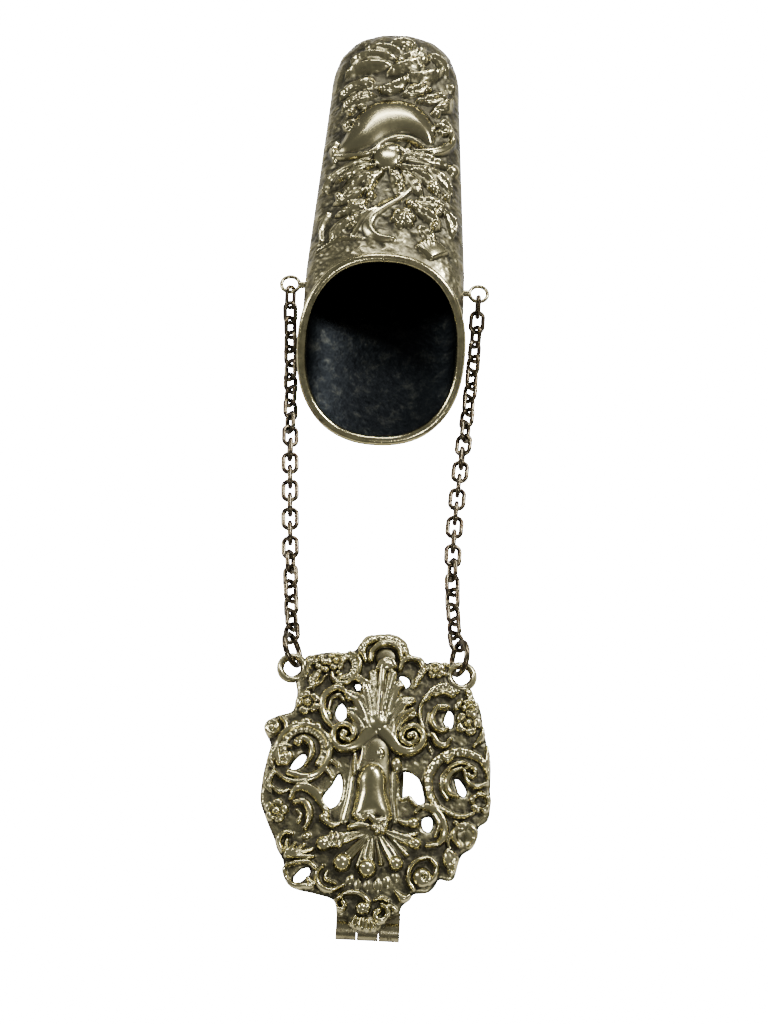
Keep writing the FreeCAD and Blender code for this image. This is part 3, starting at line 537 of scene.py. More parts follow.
def plate_left():
    """Rosette, the big ribbed scroll ring on the left, leaves and a small flower."""
    ring = spiral(-16.4, 6.4, 6.1, 5.9, -150, -330)
    lay_each(
        plate.stroke,
        (spiral(-24, 11.4, 1.4, 1.35, 0, 360), (0.4, 0.4), 7.8, 0.65),
        ([(-22, 14), (-20.8, 12.4), (-20.8, 10.4), (-22.2, 8.8)], (0.5, 0.6, 0.5), 7.4, 1),
        (ring, (0.75, 0.8, 0.8), 7.5, 1.05),
        (spiral(-16.4, 6.6, 4.7, 4.6, 200, -240), (0.9, 0.9), 7.3, 0.7, "round", 15),
        ([(-18.3, 8.2), (-16.8, 9.2), (-15, 8), (-14.6, 5.6), (-15.8, 3)], (0.6, 0.9, 0.8, 0.4),
         7.8, 1.3),
        (spiral(-20.6, 5, 2.6, 1.2, 60, 330), (0.35, 0.5, 0.6), 7.4, 0.9),
        ([(-22.4, 1.2), (-19.6, -0.4), (-16.4, -0.6), (-13.4, 0.4), (-11, 2.6)],
         (0.4, 0.6, 0.6, 0.4), 7.4, 1),
        ([(-12.6, 3.4), (-10.8, 2.2), (-9.4, 0.4)], (0.5, 0.7, 0.5), 7.4, 1, "round", 5),
        ([(-11.6, 6), (-10, 4.4), (-8.4, 3.4)], (0.5, 0.6, 0.4), 7.3, 0.8),
        ([(-22.6, -2.2), (-21, -3.2), (-19, -2.6)], (0.4, 0.6, 0.4), 7.3, 0.9),
        ([(-18.5, -4.6), (-17.4, -2.2), (-15.2, -1.9), (-12.9, -3.2), (-11.1, -5.4), (-10.5, -7.4)],
         (0.5, 0.9, 1.2, 1.2, 0.7), 7.6, 1.2, "left"),
        ([(-17.6, -5.4), (-15.6, -5), (-14.2, -6.8), (-14.2, -9.2), (-14.9, -11)],
         (0.5, 0.9, 0.9, 0.5), 7.5, 1.2),
        ([(-16.9, -7), (-16, -8.2), (-16.4, -9.8)], (0.4, 0.5, 0.4), 7.3, 0.8),
        ([(-17.6, -12.3), (-19.3, -12.1), (-20.5, -13.8), (-19.6, -16)], (0.4, 0.6, 0.7, 0.5), 7.5,
         1.1),
        ([(-18.9, -19.9), (-18.5, -21.9), (-16.6, -23.4), (-13.6, -23.2)], (0.6, 0.7, 0.8, 0.6),
         7.3, 1.2),
        ([(-18.4, -19), (-16.4, -18.4), (-13.6, -18.2), (-12, -19.4)], (0.4, 0.6, 0.6, 0.4), 7.3,
         1),
        ([(-13.4, -21.8), (-12.4, -23), (-13.8, -23.6)], (0.6, 0.6, 0.4), 7.3, 0.9, "round", 4),
        ([(-10.4, -18.8), (-11.7, -20.6), (-11, -22.9), (-8.6, -24), (-5.8, -22.8)],
         (0.4, 0.6, 0.65, 0.6, 0.4), 7.4, 1.2),
        ([(-9.4, -20), (-9.6, -21.6), (-7.6, -22.4)], (0.4, 0.5, 0.3), 7.2, 0.7))
    lay_each(
        plate.dome,
        (-24, 11.4, 2.3, 2.3, 7.2, 0.9),
        (-24, 11.4, 0.7, 0.7, 8, 0.7),
        (-17.6, 8.1, 0.9, 0.8, 8.1, 0.9),
        (-20.5, 4.8, 1, 1, 7.8, 1),
        (-14.4, -12.6, 1, 0.8, 7.2, 0.6, 30))
    plate.flower(-21.5, -7.4, 2.8, 7.3, 1.3, 5, 10)
    lay_each(
        plate.leaf,
        ([(-22.6, 7.4), (-23.9, 4.6), (-22.8, 2)], 1.2, 4, 7.3, 1.1),
        ([(-22.6, 1.8), (-23.9, -0.8), (-23, -3.4)], 1.3, 4, 7.3, 1.1))
    for x, y, turn in ((-18.6, 12.4, 10), (-16.3, 13.2, 0), (-13.6, 12.2, -25), (-11.7, 10.2, -50),
                       (-10.8, 7.6, -80)):
        plate.dome(x, y, 1.3, 0.9, 7.5, 1.1, turn)
    for end, width in (((-18.6, -13.6), 0.5), ((-16.9, -14.4), 0.6), ((-14.8, -14.6), 0.6),
                       ((-12.8, -15.4), 0.6), ((-12.6, -17), 0.5)):
        plate.stroke([(-18.6, -17), ((-18.6 + end[0]) / 2, (-16.6 + end[1]) / 2 - 0.3), end],
                     (0.5, width, 0.4), 7.4, 1.1)


def plate_right():
    """Big ribbed scroll ring on the right, flowers down the edge, shell petals and commas."""
    ring = [(25, 3.8), (23.4, 6.4), (20.2, 7.8), (16.8, 7.5), (13.6, 5.4), (11.9, 2),
            (12.2, -1.6), (14, -4.6)]
    lay_each(
        plate.stroke,
        ([(10.4, 19.6), (12.4, 22.2), (15.4, 23.2), (17.8, 22)], (0.6, 0.9, 1, 0.6), 7.6, 1.2,
         "left", 6),
        ([(12.6, 20.8), (14.6, 21.8), (16.4, 21.2)], (0.4, 0.6, 0.7), 7.5, 1),
        ([(10.3, 20.4), (9.4, 17.6), (9.7, 14.4), (11.6, 11.2)], (0.4, 0.5, 0.5, 0.4), 7.3, 0.9),
        ([(11.6, 16.4), (11.1, 13.6), (12.2, 11.2)], (0.6, 0.6, 0.6), 7.2, 0.6, "round", 10),
        ([(15.4, 18.2), (13.4, 18), (12.3, 16), (12.6, 13.6), (14.4, 12.6), (15.6, 13.1)],
         (0.7, 0.7, 0.7, 0.6), 7.7, 1.3),
        ([(23.9, 13.4), (23.4, 11.4), (22, 9.6)], (0.5, 0.8, 0.5), 7.5, 1.2),
        ([(12.4, 11.6), (13.8, 9.6), (15.4, 9.4), (16.4, 10.8)], (0.7, 0.9, 0.9, 0.5), 7.5, 1.2),
        (ring, (0.6, 0.9, 1.1, 1.2, 1.2, 1.1, 0.8), 7.5, 1.15, "right", 13),
        ([(14.6, 7), (15.8, 5.9), (17.3, 7.1)], (0.5, 0.8, 0.5), 8, 0.9),
        ([(22, 4.6), (19.4, 5.6), (16.8, 4.6), (14.9, 2.2), (14.8, -0.8), (16.2, -3)],
         (0.4, 0.5, 0.55, 0.5, 0.4), 7.4, 0.9),
        ([(19.2, 4.1), (17, 3), (15.9, 0.8), (16.6, -1.4), (18.4, -2.2)], (0.4, 0.7, 0.9, 0.8, 0.4),
         7.7, 1.2),
        ([(19.8, 3.6), (20.4, 1.4), (22.4, 0.2), (24.8, 1)], (0.5, 0.5, 0.6, 0.5), 7.6, 1.1),
        (spiral(21.2, 3.2, 1.6, 0.6, 150, -300), (0.4, 0.5, 0.5), 7.7, 1),
        ([(25, 9.4), (24.9, 6), (25.1, 2.6)], (0.5, 0.7, 0.5), 7.4, 1),
        ([(6, -3.6), (7.6, -3), (9.2, -4.6)], (0.4, 0.7, 0.5), 7.4, 1.1),
        ([(9.4, -6.2), (10.8, -4.9), (13.2, -5.4), (15, -7.6), (15.7, -10.4), (14.6, -12.6),
          (12, -13.3)], (0.5, 0.8, 1, 1.1, 1, 0.8, 0.5), 7.6, 1.25, "left"),
        ([(13.2, -6.6), (14.4, -8.8), (13.8, -11.2)], (0.3, 0.4, 0.3), 7.9, 0.8),
        ([(14.6, -4.8), (17, -6.2), (19.6, -6.6), (22, -5.8)], (0.6, 0.6, 0.6, 0.4), 7.4, 1.1,
         "round", 7),
        (spiral(20.2, -10.8, 2.5, 2.3, -60, 300), (0.6, 0.7, 0.7), 7.6, 1.1),
        ([(12.2, -16), (10, -16.6), (8.4, -18.6), (8.3, -21.2), (9.4, -22.8)],
         (0.4, 0.55, 0.6, 0.55), 7.4, 1.2),
        ([(12.8, -16.1), (14.3, -17.8), (13.9, -20), (12.6, -21.4)], (0.5, 0.6, 0.6), 7.4, 1.2),
        ([(5.6, -23.6), (7.2, -24.9), (8.6, -24.4)], (0.4, 0.9, 0.5), 7.4, 1),
        ([(17.4, -10), (16.6, -12.4), (17.2, -14)], (0.4, 0.5, 0.3), 7.2, 0.8))
    lay_each(
        plate.dome,
        (16.6, 21.6, 1, 1.2, 7.8, 1),
        (20.2, -10.6, 3, 3, 7.2, 0.9),
        (19.4, -9, 1.4, 1.1, 7.8, 0.9),
        (16.8, -16, 1.3, 2.2, 7.8, 1.1, 10),
        (11.2, -20.2, 2.1, 2.1, 7.4, 1.5),
        (18.2, -8, 0.8, 0.6, 7.3, 0.7))
    lay_each(
        plate.flower,
        (20.4, 14.8, 3.1, 7.3, 1.3),
        (20.8, 18.6, 2.1, 7.4, 1.2, 6, 15),
        (23.6, -3.2, 2.7, 7.4, 1.4, 5, 18, 0.3, True))
    lay_each(
        plate.leaf,
        ([(20.6, 20.2), (20.4, 22), (19.4, 23.6)], 1, 3, 7.3, 1),
        ([(18.9, 20.4), (18, 19), (17.4, 17.4)], 0.9, 3, 7.3, 1),
        ([(9.6, 12.6), (11.2, 9.4), (12.4, 7.2)], 0.8, 4, 7.2, 0.9),
        ([(16.4, -14.2), (17.6, -16.4), (17.4, -19.6)], 1.9, 2, 7.3, 1.5))


def plate_tab():
    """Lower lobe over the hinge: two curls, a bead and a shell."""
    lay_each(
        plate.stroke,
        (spiral(-6, -26.8, 1.6, 0.6, 90, 320), (0.5, 0.6, 0.6), 7.3, 1.2),
        ([(-6.9, -25.6), (-5, -24.4), (-2, -24.5), (-0.1, -26.2), (-0.4, -28.2)],
         (0.4, 0.6, 0.6, 0.5), 7.4, 1.2),
        (spiral(2.4, -28.4, 2, 0.7, 80, -330), (0.55, 0.7, 0.7), 7.3, 1.2),
        ([(1.2, -25.6), (2.6, -25), (4.2, -25.6)], (0.4, 0.5, 0.4), 7.2, 0.9),
        ([(3.2, -26.8), (4.6, -26.6), (5.8, -27.4)], (0.4, 0.5, 0.4), 7.2, 0.8))
    lay_each(
        plate.dome,
        (-1.5, -27.4, 1.4, 1.4, 7.5, 1.4),
        (-0.6, -30.6, 3.4, 1.8, 7.1, 0.7))
    for x, y, long in ((-4.4, -21.6, 1.2), (-2.6, -22.6, 1.6), (-0.6, -22.6, 1.5), (1.6, -22.4, 1.6),
                       (3.6, -21.6, 1.3), (5.4, -20.4, 1.1)):
        plate.dome(x, y, 0.75, long, 7.05, 0.45, 10 * x / 3)
    for start, end in (((-2.8, -29.2), (-3.4, -30.8)), ((-1.6, -29.6), (-1.9, -31.4)),
                       ((-0.4, -29.8), (-0.3, -31.7)), ((0.8, -30.2), (1.3, -31.6))):
        plate.stroke([start, end], (0.4, 0.55), 7.3, 1.1)


for motif in (plate_leaf, plate_column, plate_fan, plate_crest, plate_upper_left, plate_left,
              plate_right, plate_tab):
    motif()

# Small pits, cut after the rest, and the round wire of the two chain eyes.
for x, y, radius, depth in ((23.6, -3.2, 1, 1.2), (11.5, -20.2, 0.5, 0.8), (-21.5, -7.3, 0.6, 0.5),
                            (19.6, -11.8, 1.3, 0.5), (23.2, -1, 0.3, 0.4), (24, -0.9, 0.3, 0.4)):
    far = np.hypot(plate.x - x, plate.y - y) / radius
    plate.height -= depth * np.exp(-far**4)
for far in eye_far:
    wire = EYE_WIRE**2 - (far - EYE_MIDDLE)**2
    near = np.clip((EYE_BLEND - far) / 0.5, 0, 1)
    ring_height = 6.45 + np.sqrt(np.clip(wire, 0, 1))
    plate.height = np.where(far < EYE_BLEND, ring_height * near + plate.height * (1 - near),
                            plate.height)
plate.height = np.clip(plate.height + 0.004 * grain(plate.x.shape, 0, 8), PLATE_LOWEST, PLATE_TOP)


def rounded_edges(relief, inside, drop, width):
    """Lower the map towards its outline as a quarter round of that width and drop."""
    out = np.clip(inside / width, 0, 1)
    relief.height = relief.height - drop * (1 - np.sqrt(np.clip(1 - (1 - out)**2, 0, 1)))


rounded_edges(plate, inside, 0.9, 0.9)


def pierced_mesh(name, relief, inside, back):
    """Solid under a height map where inside is positive. Cells with four inner corners are kept,
    their border is moved onto the outline, then a side wall and a flat back close it."""
    step = relief.step
    within = inside > 0
    keep = within[:-1, :-1] & within[1:, :-1] & within[:-1, 1:] & within[1:, 1:]
    for _ in range(4):
        padded = np.pad(keep, 1)
        a, b = padded[:-1, :-1], padded[:-1, 1:]
        c, d = padded[1:, :-1], padded[1:, 1:]
        touching = (a & d & ~b & ~c) | (b & c & ~a & ~d)
        keep &= ~(touching[:-1, :-1] | touching[1:, 1:] | touching[:-1, 1:] | touching[1:, :-1])
    rows, columns = np.nonzero(keep)
    wide = inside.shape[1]
    corner = rows * wide + columns
    quads = np.stack([corner, corner + 1, corner + wide + 1, corner + wide], 1)
    used, compact = np.unique(quads, return_inverse=True)
    quads = compact.reshape(-1, 4)
    slope_y, slope_x = np.gradient(inside, step)
    maps = (relief.x, relief.y, relief.height, inside, slope_x, slope_y)
    x, y, z, depth, gx, gy = (values.ravel()[used] for values in maps)
    edges = np.concatenate([quads[:, [k, (k + 1) % 4]] for k in range(4)])
    code = edges[:, 0].astype(np.int64) * len(used) + edges[:, 1]
    back_code = edges[:, 1].astype(np.int64) * len(used) + edges[:, 0]
    border = edges[~np.isin(code, back_code)]
    rim = np.unique(border)
    steep = np.maximum(np.hypot(gx[rim], gy[rim]), 0.3)
    shift = np.minimum(depth[rim], 1.6 * step)
    x[rim] -= shift * gx[rim] / steep
    y[rim] -= shift * gy[rim] / steep
    place = np.full(len(used), -1)
    place[rim] = np.arange(len(rim))
    levels = [(back + 0.5, 0.0), (back, 0.4)]
    sheets = [np.stack([x, y, z], 1)]
    for height, inset in levels:
        sheets.append(np.stack([x[rim] + inset * gx[rim] / steep, y[rim] + inset * gy[rim] / steep,
                                np.full(len(rim), height)], 1))
    walls = []
    first = border
    for level in range(len(levels)):
        second = len(used) + level * len(rim) + place[border]
        walls.append(np.stack([first[:, 1], first[:, 0], second[:, 0], second[:, 1]], 1))
        first = second
    mesh = bpy.data.meshes.new(name)
    mesh.from_pydata(np.concatenate(sheets).tolist(), [], np.concatenate([quads] + walls).tolist())
    build = bmesh.new()
    build.from_mesh(mesh)
    open_edges = [edge for edge in build.edges if edge.is_boundary]
    bmesh.ops.triangle_fill(build, use_beauty=True, use_dissolve=False, edges=open_edges,
                            normal=(0, 0, -1))
    bmesh.ops.recalc_face_normals(build, faces=build.faces)
    build.to_mesh(mesh)
    build.free()
    return mesh, used, len(rim)


def wear_and_depth(relief, cells, tops, hollows):
    """Two maps from 0 to 1: where metal stands above its surroundings, and where it lies below."""
    around = blurred(blurred(relief.height, cells), cells)
    stands = (relief.height - around) / tops
    return np.clip(0.35 + stands, 0, 1), np.clip(0.18 - (relief.height - around) / hollows, 0, 1)


def point_attribute(mesh, name, values):
    """One number for each vertex, that a material can read by name."""
    attribute = mesh.attributes.new(name, "FLOAT", "POINT")
    attribute.data.foreach_set("value", np.asarray(values, np.float32))


def finished(name, mesh, materials, body, stands_for):
    """Object at the origin from a mesh in millimetres, smooth, and tied to its CAD nodes."""
    mesh.transform(Matrix.Scale(MM, 4))
    mesh.polygons.foreach_set("use_smooth", np.ones(len(mesh.polygons), bool))
    for material in materials:
        mesh.materials.append(material)
    mesh.update()
    piece = bpy.data.objects.new(name, mesh)
    bpy.context.scene.collection.objects.link(piece)
    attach(piece, body)
    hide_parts(*stands_for)


plate_silver = metal_material("cast_silver", chased_silver(
    "chased_silver", (0.64, 0.58, 0.31), (0.3, 0.272, 0.145), SILVER_DARK), SMOOTH)
plate_mesh, used, rim_count = pierced_mesh("cast_plate", plate, inside, PLATE_BACK)
wear, deep = wear_and_depth(plate, 6, 0.9, 0.85)
deep = np.clip(deep + 0.28 * np.clip((7.45 - plate.height) / 0.5, 0, 1), 0, 1)
for label, values, on_walls in (("wear", wear, 0.2), ("deep", deep, 0.6)):
    point_attribute(plate_mesh, label,
                    np.concatenate([values.ravel()[used], np.full(2 * rim_count, on_walls)]))
finished("cast_plate", plate_mesh, [plate_silver], "clip", ["clip_plate"])


# ---------------------------------------------------------------- case
# Case raised from thin sheet in two halves, seamed along both flanks, with a slanted mouth. The
# front is embossed with leaves, flowers and scrolls round a smooth kidney-shaped cartouche.
low_corner, high_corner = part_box("case_back_shell")
CASE_ACROSS = (low_corner[0] + high_corner[0]) / 2 / MM
HALF_WIDTH, END_HALF_WIDTH, HALF_HEIGHT, END_HALF_HEIGHT = 20.7, 18.0, 9.35, 7.7
CASE_LENGTH, END_LENGTH, MOUTH_RUN, LIFT, WALL = 127.7, 22.7, 45.4, 0.8, 0.5
CASE_START = high_corner[1] / MM - CASE_LENGTH
STRAIGHT = CASE_LENGTH - END_LENGTH
SECTION, END_SECTION = 2.3, 2.5
FRONT_GRID, BACK_GRID, INNER_GRID, INNER_EVERY = (221, 320, 60), (121, 90, 36), (36, 12), 4

front = Relief((-21.5, 106.0), (21.5, 217.0), 0.22)
front.height = 0.06 * grain(front.x.shape, 1, 11) + 0.06 * grain(front.x.shape, 5, 12)


def case_cartouche():
    """Smooth cushion with a turned-over lower edge, a knot and ribbons below it."""
    outline = smooth_path([(-14.6, 169), (-13, 173.5), (-11.2, 178), (-8.6, 182.6), (-4.4, 185.6),
                           (1, 186.4), (6, 185), (9.6, 181), (11.2, 176), (10.4, 171.6),
                           (7.4, 173.4), (3.4, 174.8), (-1.4, 173.4), (-5.2, 170), (-9.6, 167.8),
                           (-13, 167.4)], 5, closed=True)
    depth = inside_distance(front.x, front.y, outline)
    cushion = 0.25 + 0.95 * (1 - np.exp(-np.clip(depth, 0, 9) / 1.9))
    front.height = np.where(depth > 0, np.maximum(front.height, cushion), front.height)
    lay_each(
        front.stroke,
        ([(-15.2, 169.2), (-14.6, 166.8), (-10, 166), (-5.6, 166.8), (-2.8, 170), (0.6, 172.2),
          (4.6, 172.4), (8, 170.2)], (0.7, 0.8, 0.8, 0.9, 1, 0.7), 0.35, 0.9),
        ([(-14.8, 172), (-16, 169), (-15, 165.6)], (0.5, 0.8, 0.5), 0.2, 0.8),
        ([(2, 168.6), (3.4, 166.6), (2.4, 164)], (0.6, 0.9, 0.6), 0.5, 0.9),
        ([(4.4, 170), (4, 168), (5.4, 166.2)], (0.6, 0.9, 0.5), 0.5, 0.9),
        ([(5.6, 167.8), (9, 168.6), (12.4, 170.6), (14.4, 173.6)], (0.6, 0.9, 0.8, 0.4), 0.3, 1),
        ([(10.6, 168), (14, 170.6), (16, 174.6), (15.4, 179), (13.4, 181.4)], (0.6, 0.9, 0.8, 0.6),
         0.2, 0.9),
        (spiral(13, 177.6, 2.4, 0.8, 200, -340), (0.5, 0.6, 0.6), 0.2, 0.8),
        ([(-5.6, 164.4), (-10, 163.4), (-15.6, 160), (-17.4, 156.4)], (0.5, 0.7, 0.6, 0.3), 0.25,
         0.9),
        (spiral(-11.6, 176.8, 2.6, 0.8, -40, 330), (0.5, 0.7, 0.6), 0.2, 0.9))
    lay_each(
        front.dome,
        (-1.2, 165, 3.6, 4, 0.5, 0.8, 0, 0.35),
        (-0.2, 168, 3, 2.2, 0.4, 0.8, 25),
        (16.6, 165.2, 1.6, 2.2, 0.2, 1))
    lay_each(
        front.leaf,
        ([(2.4, 165.2), (8, 165.8), (15.4, 165)], 2, 3, 0.3, 1.1),
        ([(2, 162.6), (6, 162), (11, 163.4)], 1.5, 3, 0.2, 0.9),
        ([(-4.6, 162.6), (-9, 161.4), (-14.4, 157.8)], 1.9, 4, 0.2, 1.1))


def case_lower():
    """Leaves, an S-scroll, roses and buds between the knot and the mouth."""
    lay_each(
        front.stroke,
        ([(6.6, 157), (3, 152.6), (-1, 149.4), (-4.4, 145.8), (-5, 142), (-2.6, 139), (1.4, 138.4)],
         (0.6, 1.1, 1.6, 1.9, 1.7, 1.2, 0.7), 0, 0.85, "left"),
        ([(-3.4, 148.2), (-6.8, 144), (-9, 139.2)], (0.5, 0.8, 0.4), 0.2, 0.8),
        ([(-15.6, 148), (-17.2, 143.6), (-17, 139)], (0.4, 0.6, 0.4), 0.1, 0.7),
        ([(-18, 136), (-12, 138.4), (-6, 138.6)], (0.3, 0.5, 0.3), 0.05, 0.5))
    lay_each(
        front.flower,
        (3.9, 145.4, 3.4, 0.15, 1.2, 6, 10),
        (3.9, 145.4, 1.9, 0.5, 1, 5, 40, 0.4))
    for points, width, lobes, rise in (
            ([(-2, 161), (-5, 157.6), (-5.6, 152.6)], 1.7, 4, 1.1),
            ([(-5.2, 160), (-9.4, 157), (-12, 152.2)], 1.9, 4, 1.1),
            ([(-6.4, 154.6), (-10.6, 151.6), (-14.6, 150.4)], 1.8, 4, 1.1),
            ([(-5.8, 150.6), (-9.2, 148.2), (-13.8, 146.2)], 1.9, 4, 1.1),
            ([(-4.6, 147.6), (-8, 145), (-10.4, 141.6)], 1.6, 4, 1),
            ([(-10, 145), (-13, 142), (-14.6, 138.2)], 1.6, 3, 0.9),
            ([(0.2, 160.6), (2.2, 157.4), (2.4, 152.6)], 1.6, 4, 1.1),
            ([(3, 160.6), (6, 157), (8.4, 153)], 1.8, 4, 1.1),
            ([(5.6, 161.4), (10, 158.6), (13, 154.4)], 1.8, 4, 1.1),
            ([(9, 162.6), (13.6, 160.6), (16.4, 156.6)], 1.5, 4, 1),
            ([(7, 151), (11, 151.6), (15, 149.8)], 1.8, 4, 1.1),
            ([(6.8, 148.6), (10.6, 147), (13.4, 143.6)], 1.8, 4, 1),
            ([(14.6, 150), (16.6, 146.6), (16.8, 142.4)], 1.3, 3, 0.9),
            ([(8, 143), (10.6, 140.6), (11.6, 137)], 1.5, 3, 0.9)):
        front.leaf(points, 1.25 * width, lobes, 0.1, rise)
    for x, y, radius in ((-4.8, 158, 1.1), (-4.8, 152.4, 1.2), (2.6, 155.6, 1), (11, 156.6, 1.1),
                         (14.8, 154.8, 0.9), (-13, 152.4, 1.2), (7.4, 149.4, 0.9), (12.2, 144.2, 1),
                         (-9.2, 148.6, 1.3), (-6.4, 147.6, 1), (5.4, 150.2, 1.1), (13, 149.2, 1.1),
                         (16.8, 148, 0.8), (-8.6, 144.6, 1)):
        front.dome(x, y, radius, radius * 1.4, 0.4, 1, 20 * (x % 3 - 1))
    for turn in range(-60, 75, 15):
        angle = math.radians(90 + turn)
        tip = (11.6 + 4.2 * math.cos(angle), 134.8 + 4.2 * math.sin(angle))
        front.stroke([(11.6, 133.6), tip], (0.3, 0.62), 0.05, 0.75)


def case_upper():
    """Long streaked leaves, buds and a polished bead between the cartouche and the end."""
    front.dome(-8.4, 192.8, 2.6, 1.9, 0.3, 1.2, 20)
    for points, width, lobes, rise in (
            ([(-13.6, 184), (-9.6, 186.8), (-5, 187.8)], 1.7, 5, 1),
            ([(-14.6, 188.6), (-10.4, 191.2), (-5, 191)], 1.8, 5, 1),
            ([(-13.6, 196.4), (-8, 198.2), (-1, 199)], 2, 6, 1),
            ([(-12.4, 201.4), (-6.6, 202.2), (0, 201.6)], 1.8, 6, 1),
            ([(-8.6, 205.6), (-3.6, 205.4), (1.4, 204.6)], 1.5, 5, 0.9),
            ([(-2, 196.4), (4, 198.8), (9, 202.6)], 1.9, 5, 1.2),
            ([(0, 200.4), (4.6, 202.4), (8, 206.6)], 1.6, 4, 1.2),
            ([(2, 194), (7.6, 195.4), (13, 199.6)], 1.9, 5, 1.1),
            ([(-3.4, 189), (0.6, 191.4), (3.2, 195.2)], 1.7, 4, 1.1),
            ([(2.6, 188.4), (6, 190.2), (9.4, 193.6)], 1.7, 4, 1.1),
            ([(7.6, 186.6), (11.4, 188.4), (14.4, 192.6)], 1.7, 4, 1.1),
            ([(10.6, 184), (14, 186.4), (15.8, 190.6)], 1.4, 4, 1),
            ([(9, 204.6), (12, 202.4), (14.2, 198.6)], 1.4, 4, 0.9),
            ([(-2, 207.6), (1.8, 208.4), (5.6, 207)], 1.3, 4, 0.9)):
        front.leaf(points, 1.3 * width, lobes, 0.1, 1.35 * rise)
    for x, y, radius in ((1.8, 193, 1.1), (4.6, 191.4, 0.9), (-3.6, 190.2, 1), (4.4, 195.6, 0.9),
                         (11.2, 183.2, 1.1), (12.8, 189.4, 1), (13.8, 186.6, 0.9), (6.6, 186.6, 0.8),
                         (9, 191.2, 0.8), (0.6, 199.8, 0.9), (4, 201.2, 1), (7, 203.4, 1.1),
                         (6.4, 198.8, 0.9), (-5.4, 204, 0.9), (2.6, 206.6, 1.2), (12.6, 203.6, 1),
                         (-11.6, 182.4, 1), (-9, 183.8, 0.9), (15.4, 195, 0.9)):
        front.dome(x, y, radius * 1.3, radius, 0.35, 0.95, 25 * (y % 3 - 1))


for motif in (case_cartouche, case_lower, case_upper):
    motif()

# Raised from behind, so the forms are soft, and close groups of leaves swell up together.
worked = blurred(front.height, 1)
front.height = 1.2 * worked + 0.55 * blurred(blurred(worked, 7), 7)


def case_size(along):
    """Half width, half height and middle height of the oval at places along the case."""
    share = np.clip((along - MOUTH_RUN) / (STRAIGHT - MOUTH_RUN), 0, 1)
    wide = HALF_WIDTH + (END_HALF_WIDTH - HALF_WIDTH) * share
    high = HALF_HEIGHT + (END_HALF_HEIGHT - HALF_HEIGHT) * share
    middle = LIFT * (1 - np.minimum(along, STRAIGHT) / STRAIGHT) + high
    return wide, high, middle


def signed_power(values, power):
    """Sign of the value times its size to the power."""
    return np.sign(values) * np.abs(values)**power


def case_grid(turns, rows, cap_rows, inset):
    """Half of the case: superellipse sections of power 2.3 from the slanted mouth to the closed
    end, which closes as a superellipse of power 2.5. Returns the points and each row's pole."""
    cosine = signed_power(np.cos(turns), 2 / SECTION)[None, :]
    sine = signed_power(np.sin(turns), 2 / SECTION)[None, :]
    mouth = HALF_HEIGHT * (1 + sine) / (2 * HALF_HEIGHT / MOUTH_RUN + LIFT / STRAIGHT) - 0.6 * inset
    share = np.linspace(0, 1, rows)[:, None]
    along = mouth * (1 - share) + STRAIGHT * share
    wide, high, middle = case_size(along)
    straight = np.stack([(wide - inset) * cosine, CASE_START + along,
                         middle + (high - inset) * sine], -1)
    angle = np.linspace(0, np.pi / 2, cap_rows + 1)[1:-1, None]
    wide, high, middle = case_size(np.array(STRAIGHT))
    step, shrink = np.sin(angle)**(2 / END_SECTION), np.cos(angle)**(2 / END_SECTION)
    cap = np.stack([(wide - inset) * shrink * cosine,
                    CASE_START + STRAIGHT + (END_LENGTH - inset) * step + 0 * cosine,
                    middle + (high - inset) * shrink * sine], -1)
    pole = np.array([0.0, CASE_START + CASE_LENGTH - inset, middle])
    return np.concatenate([straight, cap]), pole


def grid_normals(points):
    """Unit normals of a grid of points from the differences along both of its directions."""
    down, over = np.gradient(points, axis=0), np.gradient(points, axis=1)
    normal = np.cross(down, over)
    return normal / np.maximum(np.linalg.norm(normal, axis=-1, keepdims=True), 1e-9)


def sample(relief, values, x, y):
    """Value of a map at given places, linear between its cells."""
    column = np.clip((x - relief.across[0]) / relief.step, 0, len(relief.across) - 1.001)
    row = np.clip((y - relief.along[0]) / relief.step, 0, len(relief.along) - 1.001)
    i, j = column.astype(int), row.astype(int)
    u, v = column - i, row - j
    return ((values[j, i] * (1 - u) + values[j, i + 1] * u) * (1 - v)
            + (values[j + 1, i] * (1 - u) + values[j + 1, i + 1] * u) * v)


def zipped(first, first_run, second, second_run):
    """Triangles between two rows of vertices, always stepping on the row that is behind."""
    faces, i, j = [], 0, 0
    while i < len(first) - 1 or j < len(second) - 1:
        if j == len(second) - 1 or (i < len(first) - 1 and first_run[i + 1] <= second_run[j + 1]):
            faces.append((first[i], first[i + 1], second[j]))
            i += 1
        else:
            faces.append((first[i], second[j + 1], second[j]))
            j += 1
    return faces


